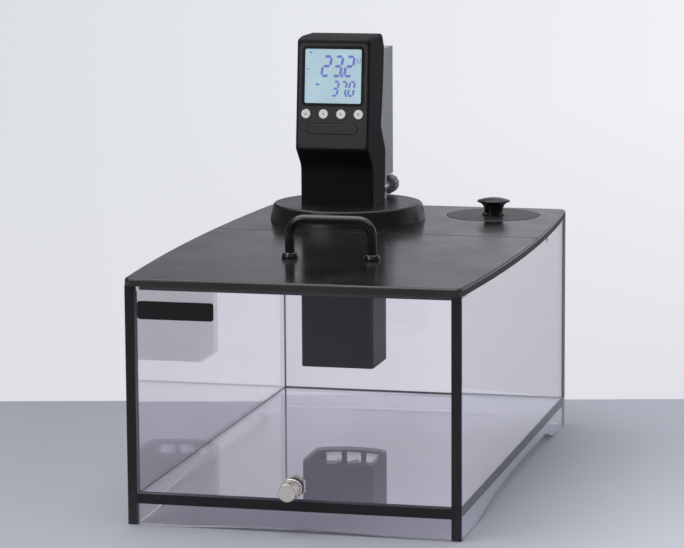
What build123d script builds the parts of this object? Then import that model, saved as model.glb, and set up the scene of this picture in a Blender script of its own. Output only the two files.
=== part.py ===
from build123d import *
import os
from math import cos, hypot, radians, sin, tan

# Laboratory water bath: a clear sheet tank, a lift-off front lid with a bar handle,
# a fixed rear bridge plate that carries the circulator, and a round fill port.
# Origin: centre of the bounding box at the bench. +Z is up and the front faces -Y.

# Tank sheets
TANK_WIDTH = 336.0
TANK_DEPTH = 572.0
SHEET = 10.0
APRON_HEIGHT = 21.4
INNER_DEPTH = 206.8
FRONT_FOOT = 60.0
REAR_FOOT = 48.0
SIDE_ARCH = 13.4
SIDE_ARCH_FRONT_RAMP = 240.0
SIDE_ARCH_REAR_RAMP = 84.0
APRON_ARCH = 2.5
APRON_FOOT = 48.0
SHEET_EDGE = 0.8

# Lid and bridge plate
LID_THICKNESS = 8.0
LID_OVERHANG = 3.2
LID_BOW = 11.5
LID_CORNER = 9.0
LID_EDGE_ROUND = 3.0
BRIDGE_DEPTH = 230.0
SEAM_GAP = 0.6
LIP_DROP = 5.0
LIP_THICKNESS = 3.0
LIP_GAP = 1.5
LIP_CORNER = 4.0

# Lid handle
HANDLE_PITCH = 85.4
HANDLE_DIAMETER = 10.0
HANDLE_RISE = 39.5
HANDLE_BEND = 15.0
HANDLE_SETBACK = 158.0
COLLAR_FOOT_DIAMETER = 17.0
COLLAR_TOP_DIAMETER = 14.6
COLLAR_HEIGHT = 5.5
HANDLE_SCREW_DIAMETER = 4.0
HANDLE_SCREW_REACH = 12.0

# Fill port and its cover
PORT_X = 97.4
PORT_REAR_DISTANCE = 61.0
COVER_DIAMETER = 103.4
COVER_THICKNESS = 4.0
COVER_PROUD = 0.4
PORT_DIAMETER = 90.0
COVER_GAP = 0.4
SPIGOT_DEPTH = 9.0
SPIGOT_WALL = 3.0
KNOB_TOP_DIAMETER = 36.0
KNOB_WAIST_DIAMETER = 21.0
KNOB_FOOT_DIAMETER = 25.0
KNOB_HEIGHT = 16.0
KNOB_DOME = 3.2
KNOB_RIM = 1.6

# Drain fitting
DRAIN_HEIGHT = 44.0
DRAIN_BODY_DIAMETER = 14.0
DRAIN_BORE_DIAMETER = 9.0
DRAIN_FLANGE_DIAMETER = 20.5
DRAIN_FLANGE = 3.0
DRAIN_GASKET = 1.0
DRAIN_NUT_FLATS = 20.0
DRAIN_NUT = 6.0
PLUG_DIAMETER = 18.0
PLUG_LENGTH = 16.5
PLUG_STEM = 12.0
PLUG_SEAL = 0.8
PLUG_GRIPS = 20

# Circulator: places
FLANGE_X = -55.2
HEAD_X = -59.7
COLUMN_REAR_DISTANCE = 152.0
FLANGE_REAR_DISTANCE = 119.0

# Circulator: mounting flange
FLANGE_FOOT_DIAMETER = 172.0
FLANGE_TOP_DIAMETER = 164.0
FLANGE_HEIGHT = 18.0
FLANGE_WALL = 4.0
FLANGE_EDGE_ROUND = 3.0
FLANGE_HUB_DIAMETER = 26.0

# Circulator: immersed pump column
COLUMN_WIDTH = 81.6
COLUMN_DEPTH = 66.6
COLUMN_BULGE = 12.0
COLUMN_WALL = 3.0
COLUMN_FRONT_CORNER = 4.0
COLUMN_REAR_CORNER = 6.0
COLUMN_REACH = 162.0
COLUMN_CLEARANCE = 4.0
WINDOW_COUNT = 3
WINDOW_WIDTH = 17.0
WINDOW_BAR = 5.5
WINDOW_HEIGHT = 11.0
WINDOW_ABOVE_FOOT = 5.7
OUTLET_WIDTH = 31.0
OUTLET_HEIGHT = 17.0
OUTLET_DIAMETER = 11.0
OUTLET_RECESS = 1.2
OUTLET_Z_ABOVE_FOOT = 53.0
OUTLET_SLOT_SHIFT = 8.0
OUTLET_DOT_SHIFT = -18.0

# Circulator: head shell
HEAD_NECK_DEPTH = 59.0
HEAD_WALL = 3.0
NECK_HEIGHT = 42.5
CHIN_REACH = 22.0
CHIN_HEIGHT = 63.7
HEAD_HEIGHT = 185.7
BEZEL_LEAN = 6.0
BROW_MARGIN = 1.0
BROW_DEPTH = 16.0
CHIN_ROUND = 4.0
NECK_ROUND = 14.0
CROWN_ROUND = 5.0
BACK_CORNER_DEPTH = 9.0
BACK_CORNER_DROP = 14.0
WAIST_HEIGHT = 85.0
WAIST_DEPTH = 16.0
WAIST_ROUND = 8.0
HIP_HEIGHT = 57.0
HIP_REACH = 5.0
HIP_ROUND = 10.0
HEAD_EDGE_ROUND = 3.5
BEZEL_RECESS = 2.4

# Circulator: rear housing
REAR_HOUSING_BACK = 109.0
REAR_HOUSING_INSET = 1.5
REAR_HOUSING_LAP = 24.0
REAR_HOUSING_FOOT = 25.0
REAR_HOUSING_TOP = 168.0
REAR_SKIRT_REACH = 14.0
REAR_HOUSING_WALL = 2.5
REAR_HOUSING_ROUND = 6.0
JOIN_GAP = 0.2
CABLE_WINDOW_UP = 120.0
CABLE_WINDOW = 30.0

# Circulator: front panel
BEZEL_MARGIN = 2.6
BEZEL_HEIGHT = 119.0
BEZEL_THICKNESS = 1.8
BEZEL_CORNER = 4.0
BEZEL_FIT = 0.15
BEZEL_LEDGE = 1.4
SCREEN_FROM_SIDE = 5.45
SCREEN_HEIGHT = 61.1
SCREEN_LOW = 49.7
SCREEN_LEDGE = 1.0
SCREEN_THICKNESS = 1.2
SCREEN_CORNER = 1.5
BUTTON_COUNT = 4
BUTTON_DIAMETER = 10.0
BUTTON_FROM_SIDE = 8.8
BUTTON_UP = 39.1
BUTTON_PROUD = 1.4
BUTTON_GAP = 0.3
BUTTON_TRAVEL = 0.8
KEY_COLLAR = 1.2
KEY_COLLAR_RIM = 1.1
PILL_FROM_SIDE = 10.2
PILL_HEIGHT = 10.8
PILL_UP = 23.0
PILL_GAP = 0.5
PILL_PROUD = 0.5
BOARD_THICKNESS = 1.6
BOARD_BEHIND = 9.0
BOARD_SIDE_GAP = 2.0
BOARD_END_GAP = 10.0
SWITCH_SIDE = 6.0
SWITCH_HEIGHT = 3.4
REST_GAP = 0.1

# Circulator: inside
MOTOR_DIAMETER = 50.0
MOTOR_HEIGHT = 56.0
MOTOR_FROM_FRONT = 29.5
SHAFT_DIAMETER = 8.0
SHAFT_CLEARANCE = 0.05
BEARING_HEIGHT = 14.0
IMPELLER_DIAMETER = 48.0
IMPELLER_HEIGHT = 10.0
IMPELLER_DISC = 2.0
IMPELLER_BLADE = 2.0
IMPELLER_BLADES = 6
IMPELLER_HUB_DIAMETER = 16.0
IMPELLER_ABOVE_FLOOR = 8.0
HEATER_DIAMETER = 8.0
HEATER_FROM_SIDE = 12.8
HEATER_BEND = 14.0
HEATER_ABOVE_IMPELLER = 8.0
HEATER_FROM_AXIS = 21.0
PROBE_DIAMETER = 4.8
PROBE_FROM_SIDE = 7.3
FLOAT_STEM_DIAMETER = 4.0
FLOAT_DIAMETER = 12.0
FLOAT_HEIGHT = 18.0
FLOAT_TRAVEL = 14.0
FLOAT_FROM_SIDE = 10.3
FLOAT_STOP_ABOVE_FOOT = 62.0
FLOAT_STOP = 2.0

# Circulator: back panel fittings
INLET_WIDTH = 27.8
INLET_HEIGHT = 20.6
INLET_DEPTH = 18.0
INLET_CAVITY_DEPTH = 15.0
INLET_RIM = 2.0
INLET_RIM_WIDTH = 2.5
INLET_WALL = 2.0
PIN_SPACING = 7.0
PIN_DROP = 2.0
PIN_THICKNESS = 2.0
PIN_WIDTH = 4.0
PIN_LENGTH = 11.0
INLET_UP = 50.0
ROCKER_WIDTH = 21.0
ROCKER_HEIGHT = 15.0
ROCKER_DEPTH = 14.0
ROCKER_TILT = 9.0
ROCKER_RIM = 1.5
ROCKER_RIM_WIDTH = 2.0
ROCKER_WALL = 1.5
ROCKER_SWING_GAP = 0.9
ROCKER_SIDE_GAP = 0.3
ROCKER_BELOW = 2.0
ROCKER_ABOVE = 5.2
ROCKER_DISH = 1.6
ROCKER_UP = 84.0
ROCKER_PIVOT_DEPTH = 3.5
OUTLET_FROM_SIDE = 6.5
OUTLET_UP = 12.0
OUTLET_PIPE_DIAMETER = 11.0
OUTLET_PIPE_LENGTH = 35.0
OUTLET_FOOT = 4.0
OUTLET_FOOT_DIAMETER = 13.0
OUTLET_BORE_DIAMETER = 6.0
OUTLET_SPIGOT_DIAMETER = 9.0
OUTLET_CAP_DIAMETER = 21.0
OUTLET_CAP_LENGTH = 18.0
OUTLET_CAP_WALL = 3.0
OUTLET_CAP_FLUTES = 12

# Name plate and screws
PLATE_WIDTH = 77.4
PLATE_HEIGHT = 18.0
PLATE_THICKNESS = 0.8
PLATE_CORNER = 3.0
PLATE_FROM_EDGE = 13.3
PLATE_FROM_RIM = 14.4
BRIDGE_SCREW_DIAMETER = 4.0
BRIDGE_SCREW_HEAD = 8.4
BRIDGE_SCREW_LENGTH = 20.0
SCREW_CLEARANCE = 0.05

# Planes and places worked out from the sizes above
PLUG_REACH = DRAIN_GASKET + DRAIN_FLANGE + PLUG_SEAL + REST_GAP + PLUG_LENGTH
FRONT_Y = (PLUG_REACH - TANK_DEPTH - LID_OVERHANG) / 2
REAR_Y = FRONT_Y + TANK_DEPTH
HALF_WIDTH = TANK_WIDTH / 2
INNER_HALF = HALF_WIDTH - SHEET
FLOOR_Z = APRON_HEIGHT + SHEET
RIM_Z = FLOOR_Z + INNER_DEPTH
LID_Z = RIM_Z + LID_THICKNESS
SEAM_Y = REAR_Y + LID_OVERHANG - BRIDGE_DEPTH
HANDLE_Y = FRONT_Y + HANDLE_SETBACK
HANDLE_Z = LID_Z + HANDLE_RISE
COLUMN_Y = REAR_Y - COLUMN_REAR_DISTANCE
FLANGE_Y = REAR_Y - FLANGE_REAR_DISTANCE
FLANGE_Z = LID_Z + FLANGE_HEIGHT
FLANGE_SEAT_Z = FLANGE_Z - FLANGE_WALL
COLUMN_FOOT_Z = LID_Z - COLUMN_REACH
PUMP_Y = COLUMN_Y + MOTOR_FROM_FRONT
PORT_Y = REAR_Y - PORT_REAR_DISTANCE
CHIN_Y = COLUMN_Y - CHIN_REACH
CHIN_Z = FLANGE_Z + CHIN_HEIGHT
HEAD_TOP_Z = FLANGE_Z + HEAD_HEIGHT
BACK_Y = COLUMN_Y + REAR_HOUSING_BACK
NECK_BACK_Y = COLUMN_Y + HEAD_NECK_DEPTH
OUTLET_PIPE_X = HEAD_X + COLUMN_WIDTH / 2 - OUTLET_FROM_SIDE
PROBE_X = HEAD_X + COLUMN_WIDTH / 2 - PROBE_FROM_SIDE
FLOAT_X = HEAD_X - COLUMN_WIDTH / 2 + FLOAT_FROM_SIDE
OPENING_ACROSS = COLUMN_WIDTH / 2 + abs(HEAD_X - FLANGE_X)
OPENING_ALONG = max(FLANGE_Y - COLUMN_Y, COLUMN_Y + COLUMN_DEPTH - FLANGE_Y)
COLUMN_OPENING_DIAMETER = 2 * (hypot(OPENING_ACROSS, OPENING_ALONG) + COLUMN_CLEARANCE)
BEZEL_WIDTH = COLUMN_WIDTH - 2 * BEZEL_MARGIN
SCREEN_WIDTH = BEZEL_WIDTH - 2 * SCREEN_FROM_SIDE
BUTTON_SPACING = (BEZEL_WIDTH - 2 * BUTTON_FROM_SIDE) / (BUTTON_COUNT - 1)
PILL_WIDTH = BEZEL_WIDTH - 2 * PILL_FROM_SIDE
OUTLET_PIPE_Z = FLANGE_Z + OUTLET_UP
OUTLET_CAP_Y = NECK_BACK_Y + OUTLET_PIPE_LENGTH
REAR_CABLE_Z = FLANGE_Z + CABLE_WINDOW_UP
ROCKER_PIVOT_Y = BACK_Y - ROCKER_PIVOT_DEPTH
SCREW_X = HALF_WIDTH - SHEET / 2
SCREW_Y = SEAM_Y + BRIDGE_DEPTH / 2
LEAN_Y = -cos(radians(BEZEL_LEAN))
LEAN_Z = sin(radians(BEZEL_LEAN))
BEZEL_PLANE = Plane(origin=(HEAD_X, CHIN_Y, CHIN_Z), x_dir=(1, 0, 0), z_dir=(0, LEAN_Y, LEAN_Z))


def block(x_low, x_high, y_low, y_high, z_low, z_high):
    """A box between two opposite corners."""
    middle = Pos((x_low + x_high) / 2, (y_low + y_high) / 2, (z_low + z_high) / 2)
    return middle * Box(x_high - x_low, y_high - y_low, z_high - z_low)


def upright(x, y, z_low, z_high, diameter):
    """A cylinder along Z."""
    return Pos(x, y, (z_low + z_high) / 2) * Cylinder(diameter / 2, z_high - z_low)


def frontal(x, z, y_low, y_high, diameter):
    """A cylinder along Y."""
    place = Pos(x, (y_low + y_high) / 2, z) * Rot(90, 0, 0)
    return place * Cylinder(diameter / 2, y_high - y_low)


def leaning(u, v, depth_low, depth_high, sketch):
    """A sketch raised between two depths along the bezel's outward normal."""
    raised = extrude(sketch, depth_high - depth_low)
    return BEZEL_PLANE.location * (Pos(u, v, depth_low) * raised)


def side_profile(edges, x_low, x_high):
    """A closed outline in the YZ plane, raised along X."""
    return extrude(make_face(edges), amount=x_high - x_low, dir=(1, 0, 0)).moved(Pos(x_low, 0, 0))


def yz(y, z):
    """A point of a side outline."""
    return (0, y, z)


def turned(outline_points, x, y, z):
    """A profile of (radius, height) points, revolved about an upright axis."""
    line = Polyline(*[(radius, 0, height) for radius, height in outline_points], close=True)
    return Pos(x, y, z) * revolve(make_face(line), Axis.Z)


def ring(x, y, z_low, z_high, outer, inner):
    """An upright tube."""
    tube = upright(x, y, z_low, z_high, outer) - upright(x, y, z_low - 1, z_high + 1, inner)
    return tube


def save(node, shape):
    """Write one named sub-part, in millimetres."""
    shape.label = node
    export_step(shape, f"parts/{node}.step")


# Tank

def side_panel(side):
    """A full-height side sheet whose lower edge arches between two feet."""
    foot_end = FRONT_Y + FRONT_FOOT
    ramp_end = foot_end + SIDE_ARCH_FRONT_RAMP
    rear_start = REAR_Y - REAR_FOOT
    rear_top = rear_start - SIDE_ARCH_REAR_RAMP
    front_ramp = Bezier(
        yz(foot_end, 0),
        yz(foot_end + 0.19 * SIDE_ARCH_FRONT_RAMP, 0),
        yz(foot_end + 0.375 * SIDE_ARCH_FRONT_RAMP, SIDE_ARCH),
        yz(ramp_end, SIDE_ARCH),
    )
    rear_middle = rear_top + 0.42 * SIDE_ARCH_REAR_RAMP
    rear_ramp = Bezier(
        yz(rear_top, SIDE_ARCH),
        yz(rear_middle, SIDE_ARCH),
        yz(rear_middle, 0),
        yz(rear_start, 0),
    )
    outline = [
        Line(yz(FRONT_Y, 0), yz(foot_end, 0)),
        front_ramp,
        Line(yz(ramp_end, SIDE_ARCH), yz(rear_top, SIDE_ARCH)),
        rear_ramp,
        Line(yz(rear_start, 0), yz(REAR_Y, 0)),
        Line(yz(REAR_Y, 0), yz(REAR_Y, RIM_Z)),
        Line(yz(REAR_Y, RIM_Z), yz(FRONT_Y, RIM_Z)),
        Line(yz(FRONT_Y, RIM_Z), yz(FRONT_Y, 0)),
    ]
    inner = side * INNER_HALF
    outer = side * HALF_WIDTH
    panel = side_profile(outline, min(inner, outer), max(inner, outer))
    corners = panel.edges().filter_by(Axis.Z).filter_by(lambda edge: abs(edge.center().X) > INNER_HALF + 1)
    panel = chamfer(corners, SHEET_EDGE)
    pilot = BRIDGE_SCREW_DIAMETER + 2 * SCREW_CLEARANCE
    bottom = LID_Z - BRIDGE_SCREW_LENGTH - 1
    return panel - upright(side * SCREW_X, SCREW_Y, bottom, RIM_Z + 1, pilot)


def front_panel():
    """The front sheet, between the side sheets, with the drain hole."""
    hole = DRAIN_BODY_DIAMETER + 2 * SCREW_CLEARANCE
    sheet = block(-INNER_HALF, INNER_HALF, FRONT_Y, FRONT_Y + SHEET, FLOOR_Z, RIM_Z)
    return sheet - frontal(0, DRAIN_HEIGHT, FRONT_Y - 1, FRONT_Y + SHEET + 1, hole)


def rear_panel():
    """The rear sheet."""
    return block(-INNER_HALF, INNER_HALF, REAR_Y - SHEET, REAR_Y, FLOOR_Z, RIM_Z)


def bottom_panel():
    """The floor sheet, whose front edge shows below the front sheet."""
    return block(-INNER_HALF, INNER_HALF, FRONT_Y, REAR_Y, APRON_HEIGHT, FLOOR_Z)


def apron(y_low):
    """A low strip under the floor with a shallow arch over the bench."""
    reach = INNER_HALF - APRON_FOOT
    outline = [
        Line((-INNER_HALF, 0, 0), (-reach, 0, 0)),
        ThreePointArc((-reach, 0, 0), (0, 0, APRON_ARCH), (reach, 0, 0)),
        Line((reach, 0, 0), (INNER_HALF, 0, 0)),
        Line((INNER_HALF, 0, 0), (INNER_HALF, 0, APRON_HEIGHT)),
        Line((INNER_HALF, 0, APRON_HEIGHT), (-INNER_HALF, 0, APRON_HEIGHT)),
        Line((-INNER_HALF, 0, APRON_HEIGHT), (-INNER_HALF, 0, 0)),
    ]
    return extrude(make_face(outline), amount=SHEET, dir=(0, 1, 0)).moved(Pos(0, y_low, 0))


def name_plate():
    """The bare plate on the front sheet."""
    left = -HALF_WIDTH + PLATE_FROM_EDGE
    top = RIM_Z - PLATE_FROM_RIM
    middle = (left + PLATE_WIDTH / 2, FRONT_Y, top - PLATE_HEIGHT / 2)
    face = Plane(origin=middle, x_dir=(1, 0, 0), z_dir=(0, -1, 0))
    return extrude(face * RectangleRounded(PLATE_WIDTH, PLATE_HEIGHT, PLATE_CORNER), PLATE_THICKNESS)


# Drain fitting

def drain_bushing():
    """The threaded bushing that clamps through the front sheet."""
    seat = FRONT_Y - DRAIN_GASKET
    inner_end = FRONT_Y + SHEET + DRAIN_GASKET + DRAIN_NUT + 1
    body = frontal(0, DRAIN_HEIGHT, seat - 0.5, inner_end, DRAIN_BODY_DIAMETER)
    flange = frontal(0, DRAIN_HEIGHT, seat - DRAIN_FLANGE, seat, DRAIN_FLANGE_DIAMETER)
    flange = chamfer(flange.edges().filter_by(GeomType.CIRCLE).group_by(Axis.Y)[0], 0.8)
    bore = frontal(0, DRAIN_HEIGHT, seat - DRAIN_FLANGE - 1, inner_end + 1, DRAIN_BORE_DIAMETER)
    return body + flange - bore


def drain_gaskets():
    """A rubber washer on each side of the front sheet."""
    bore = DRAIN_BODY_DIAMETER + 2 * SCREW_CLEARANCE
    places = (FRONT_Y - DRAIN_GASKET, FRONT_Y + SHEET)
    washers = []
    for place in places:
        disc = frontal(0, DRAIN_HEIGHT, place, place + DRAIN_GASKET, DRAIN_FLANGE_DIAMETER - 1)
        washers.append(disc - frontal(0, DRAIN_HEIGHT, place - 1, place + DRAIN_GASKET + 1, bore))
    return Compound(children=washers)


def drain_nut():
    """The hexagon nut inside the tank."""
    start = FRONT_Y + SHEET + DRAIN_GASKET
    plane = Plane(origin=(0, start, DRAIN_HEIGHT), z_dir=(0, 1, 0))
    corner_radius = DRAIN_NUT_FLATS / 2 / cos(radians(30))
    nut = extrude(plane * RegularPolygon(corner_radius, 6), DRAIN_NUT)
    bore = DRAIN_BODY_DIAMETER + 2 * SCREW_CLEARANCE
    return nut - frontal(0, DRAIN_HEIGHT, start - 1, start + DRAIN_NUT + 1, bore)


def drain_plug():
    """The turning plug: a gripped head and a stem that runs in the bushing."""
    face = FRONT_Y - DRAIN_GASKET - DRAIN_FLANGE - REST_GAP - PLUG_SEAL
    head = frontal(0, DRAIN_HEIGHT, face - PLUG_LENGTH, face, PLUG_DIAMETER)
    rims = head.edges().filter_by(GeomType.CIRCLE)
    head = fillet(rims.group_by(Axis.Y)[0], 1.2)
    for index in range(PLUG_GRIPS):
        angle = radians(index * 360 / PLUG_GRIPS)
        x = PLUG_DIAMETER / 2 * cos(angle)
        z = DRAIN_HEIGHT + PLUG_DIAMETER / 2 * sin(angle)
        head -= frontal(x, z, face - PLUG_LENGTH * 0.78, face - PLUG_LENGTH * 0.22, 0.9)
    stem_diameter = DRAIN_BORE_DIAMETER - 2 * SHAFT_CLEARANCE
    stem = frontal(0, DRAIN_HEIGHT, face - 0.5, face + PLUG_STEM, stem_diameter)
    return head + stem


def plug_seal():
    """The flat ring between the plug and the bushing."""
    face = FRONT_Y - DRAIN_GASKET - DRAIN_FLANGE - REST_GAP - PLUG_SEAL
    disc = frontal(0, DRAIN_HEIGHT, face, face + PLUG_SEAL, PLUG_DIAMETER - 1)
    return disc - frontal(0, DRAIN_HEIGHT, face - 1, face + PLUG_SEAL + 1, DRAIN_BORE_DIAMETER)


# Lid and bridge plate

def lid_blank():
    """The whole top plate, bowed out at its sides, with a rounded top edge."""
    front = FRONT_Y - LID_OVERHANG
    rear = REAR_Y + LID_OVERHANG
    middle = (front + rear) / 2
    bow = HALF_WIDTH + LID_BOW
    outline = [
        Line((-HALF_WIDTH, front), (HALF_WIDTH, front)),
        ThreePointArc((HALF_WIDTH, front), (bow, middle), (HALF_WIDTH, rear)),
        Line((HALF_WIDTH, rear), (-HALF_WIDTH, rear)),
        ThreePointArc((-HALF_WIDTH, rear), (-bow, middle), (-HALF_WIDTH, front)),
    ]
    face = make_face(outline)
    face = fillet(face.vertices(), LID_CORNER)
    plate = extrude(Pos(0, 0, RIM_Z) * face, LID_THICKNESS)
    return fillet(plate.edges().group_by(Axis.Z)[-1], LID_EDGE_ROUND)


def locating_lip(y_low, y_high):
    """The ring under a plate that drops inside the tank."""
    half = INNER_HALF - LIP_GAP
    centre_y = (y_low + y_high) / 2
    depth = y_high - y_low
    outer = RectangleRounded(2 * half, depth, LIP_CORNER)
    inner_corner = LIP_CORNER - LIP_THICKNESS
    inner = RectangleRounded(2 * (half - LIP_THICKNESS), depth - 2 * LIP_THICKNESS, inner_corner)
    lip = extrude(outer - inner, LIP_DROP + 1)
    return Pos(0, centre_y, RIM_Z - LIP_DROP) * lip


def handle_bolts():
    """The places of the two bar ends."""
    return ((-HANDLE_PITCH / 2, HANDLE_Y), (HANDLE_PITCH / 2, HANDLE_Y))


def front_lid():
    """The lift-off front lid."""
    limit = HALF_WIDTH + LID_BOW + 1
    keep = block(-limit, limit, FRONT_Y - LID_OVERHANG - 1, SEAM_Y - SEAM_GAP / 2, RIM_Z - 1, LID_Z + 1)
    lid = lid_blank() & keep
    lid += locating_lip(FRONT_Y + SHEET + LIP_GAP, SEAM_Y - SEAM_GAP / 2 - LIP_GAP)
    for x, y in handle_bolts():
        lid -= upright(x, y, RIM_Z - LIP_DROP - 1, LID_Z + 1, HANDLE_SCREW_DIAMETER + 0.4)
    return lid


def bridge_plate():
    """The fixed rear plate with the column opening and the stepped fill port."""
    limit = HALF_WIDTH + LID_BOW + 1
    keep = block(-limit, limit, SEAM_Y + SEAM_GAP / 2, REAR_Y + LID_OVERHANG + 1, RIM_Z - 1, LID_Z + 1)
    plate = lid_blank() & keep
    plate += locating_lip(SEAM_Y + SEAM_GAP / 2 + LIP_GAP, REAR_Y - SHEET - LIP_GAP)
    below = RIM_Z - LIP_DROP - 1
    plate -= upright(FLANGE_X, FLANGE_Y, below, LID_Z + 1, COLUMN_OPENING_DIAMETER)
    step = COVER_THICKNESS - COVER_PROUD
    plate -= upright(PORT_X, PORT_Y, below, LID_Z + 1, PORT_DIAMETER)
    plate -= upright(PORT_X, PORT_Y, LID_Z - step, LID_Z + 1, COVER_DIAMETER + 2 * COVER_GAP)
    for side in (-1, 1):
        shank = BRIDGE_SCREW_DIAMETER + 2 * SCREW_CLEARANCE
        plate -= upright(side * SCREW_X, SCREW_Y, below, LID_Z + 1, shank)
        plate -= countersink(side * SCREW_X, SCREW_CLEARANCE)
    return plate


def countersink(x, margin):
    """The cone of a flat screw head, whose top lies in the plate's top."""
    head = BRIDGE_SCREW_HEAD / 2 + margin
    shank = BRIDGE_SCREW_DIAMETER / 2 + margin
    return turned(((0, 0), (head, 0), (shank, shank - head), (0, shank - head)), x, SCREW_Y, LID_Z)


def bridge_screws():
    """One flat-headed screw into the top edge of each side sheet."""
    screws = []
    for side in (-1, 1):
        x = side * SCREW_X
        shank = upright(x, SCREW_Y, LID_Z - BRIDGE_SCREW_LENGTH, LID_Z - 1, BRIDGE_SCREW_DIAMETER)
        slot = block(x - 3, x + 3, SCREW_Y - 0.5, SCREW_Y + 0.5, LID_Z - 0.8, LID_Z + 1)
        screws.append(countersink(x, 0) + shank - slot)
    return Compound(children=screws)


def handle_bar():
    """The bent round bar."""
    half = HANDLE_PITCH / 2
    path = FilletPolyline(
        (-half, HANDLE_Y, LID_Z),
        (-half, HANDLE_Y, HANDLE_Z),
        (half, HANDLE_Y, HANDLE_Z),
        (half, HANDLE_Y, LID_Z),
        radius=HANDLE_BEND,
    )
    section = Plane(origin=path @ 0, z_dir=path % 0) * Circle(HANDLE_DIAMETER / 2)
    bar = sweep(section, path=path)
    tapped = HANDLE_SCREW_DIAMETER + 2 * SCREW_CLEARANCE
    for x, y in handle_bolts():
        bar -= upright(x, y, LID_Z - 1, LID_Z + HANDLE_SCREW_REACH + 1, tapped)
    return bar


def handle_collars():
    """A tapered collar round each end of the bar."""
    foot = COLLAR_FOOT_DIAMETER / 2
    top = COLLAR_TOP_DIAMETER / 2
    bore = HANDLE_DIAMETER / 2 + SCREW_CLEARANCE
    outline = (
        (bore, 0),
        (foot, 0),
        (foot, COLLAR_HEIGHT * 0.35),
        (top, COLLAR_HEIGHT * 0.9),
        (top - 0.8, COLLAR_HEIGHT),
        (bore, COLLAR_HEIGHT),
    )
    return Compound(children=[turned(outline, x, y, LID_Z) for x, y in handle_bolts()])


def handle_screws():
    """The screws that hold the bar from below."""
    screws = []
    for x, y in handle_bolts():
        head = upright(x, y, RIM_Z - 2.6, RIM_Z, HANDLE_SCREW_DIAMETER * 2)
        head = chamfer(head.edges().group_by(Axis.Z)[0], 0.6)
        shank = upright(x, y, RIM_Z - 0.5, LID_Z + HANDLE_SCREW_REACH, HANDLE_SCREW_DIAMETER)
        screws.append(head + shank)
    return Compound(children=screws)


# Fill port cover

def port_cover():
    """The round cover with a spigot that drops into the port."""
    seat = LID_Z + COVER_PROUD - COVER_THICKNESS
    disc = upright(PORT_X, PORT_Y, seat, LID_Z + COVER_PROUD, COVER_DIAMETER)
    disc = fillet(disc.edges().group_by(Axis.Z)[-1], 0.8)
    outer = PORT_DIAMETER - 2 * COVER_GAP
    spigot = ring(PORT_X, PORT_Y, seat - SPIGOT_DEPTH, seat + 0.5, outer, outer - 2 * SPIGOT_WALL)
    return disc + spigot - upright(PORT_X, PORT_Y, seat - 1, LID_Z + 2, HANDLE_SCREW_DIAMETER + 0.4)


def cover_knob():
    """The flared knob of the fill cover."""
    foot = KNOB_FOOT_DIAMETER / 2
    waist = KNOB_WAIST_DIAMETER / 2
    top = KNOB_TOP_DIAMETER / 2
    lower = KNOB_HEIGHT - KNOB_RIM
    waist_z = KNOB_HEIGHT * 0.35
    dome_radius = (top ** 2 + KNOB_DOME ** 2) / (2 * KNOB_DOME)
    dome_middle = KNOB_HEIGHT + KNOB_DOME - dome_radius + (dome_radius ** 2 - (top / 2) ** 2) ** 0.5
    outline = [
        Line((0, 0, 0), (foot, 0, 0)),
        Line((foot, 0, 0), (foot, 0, 1)),
        Line((foot, 0, 1), (waist, 0, 1 + foot - waist)),
        Line((waist, 0, 1 + foot - waist), (waist, 0, waist_z)),
        TangentArc((waist, 0, waist_z), (top, 0, lower), tangent=(0, 0, 1)),
        Line((top, 0, lower), (top, 0, KNOB_HEIGHT)),
        ThreePointArc((top, 0, KNOB_HEIGHT), (top / 2, 0, dome_middle), (0, 0, KNOB_HEIGHT + KNOB_DOME)),
        Line((0, 0, KNOB_HEIGHT + KNOB_DOME), (0, 0, 0)),
    ]
    knob = revolve(make_face(outline), Axis.Z)
    tapped = upright(0, 0, -1, KNOB_HEIGHT * 0.6, HANDLE_SCREW_DIAMETER + 2 * SCREW_CLEARANCE)
    return Pos(PORT_X, PORT_Y, LID_Z + COVER_PROUD) * (knob - tapped)


def knob_screw():
    """The screw that holds the knob from below."""
    seat = LID_Z + COVER_PROUD - COVER_THICKNESS
    head = upright(PORT_X, PORT_Y, seat - 2.6, seat, HANDLE_SCREW_DIAMETER * 2)
    reach = LID_Z + COVER_PROUD + KNOB_HEIGHT * 0.5
    return head + upright(PORT_X, PORT_Y, seat - 0.5, reach, HANDLE_SCREW_DIAMETER)


# Circulator flange and column

def mount_flange():
    """The round tapered flange that sits on the bridge plate."""
    foot = FLANGE_FOOT_DIAMETER / 2
    top = FLANGE_TOP_DIAMETER / 2
    body = turned(((0, 0), (foot, 0), (top, FLANGE_HEIGHT), (0, FLANGE_HEIGHT)), FLANGE_X, FLANGE_Y, LID_Z)
    body = fillet(body.edges().filter_by(GeomType.CIRCLE).group_by(Axis.Z)[-1], FLANGE_EDGE_ROUND)
    inner_foot = foot - FLANGE_WALL
    inner_top = top - FLANGE_WALL
    inside = FLANGE_HEIGHT - FLANGE_WALL
    hollow = turned(((0, -1), (inner_foot, -1), (inner_top, inside), (0, inside)), FLANGE_X, FLANGE_Y, LID_Z)
    hub = upright(HEAD_X, PUMP_Y, FLANGE_SEAT_Z - 1, FLANGE_Z + 1, FLANGE_HUB_DIAMETER + 2 * SCREW_CLEARANCE)
    return body - hollow - hub


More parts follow.
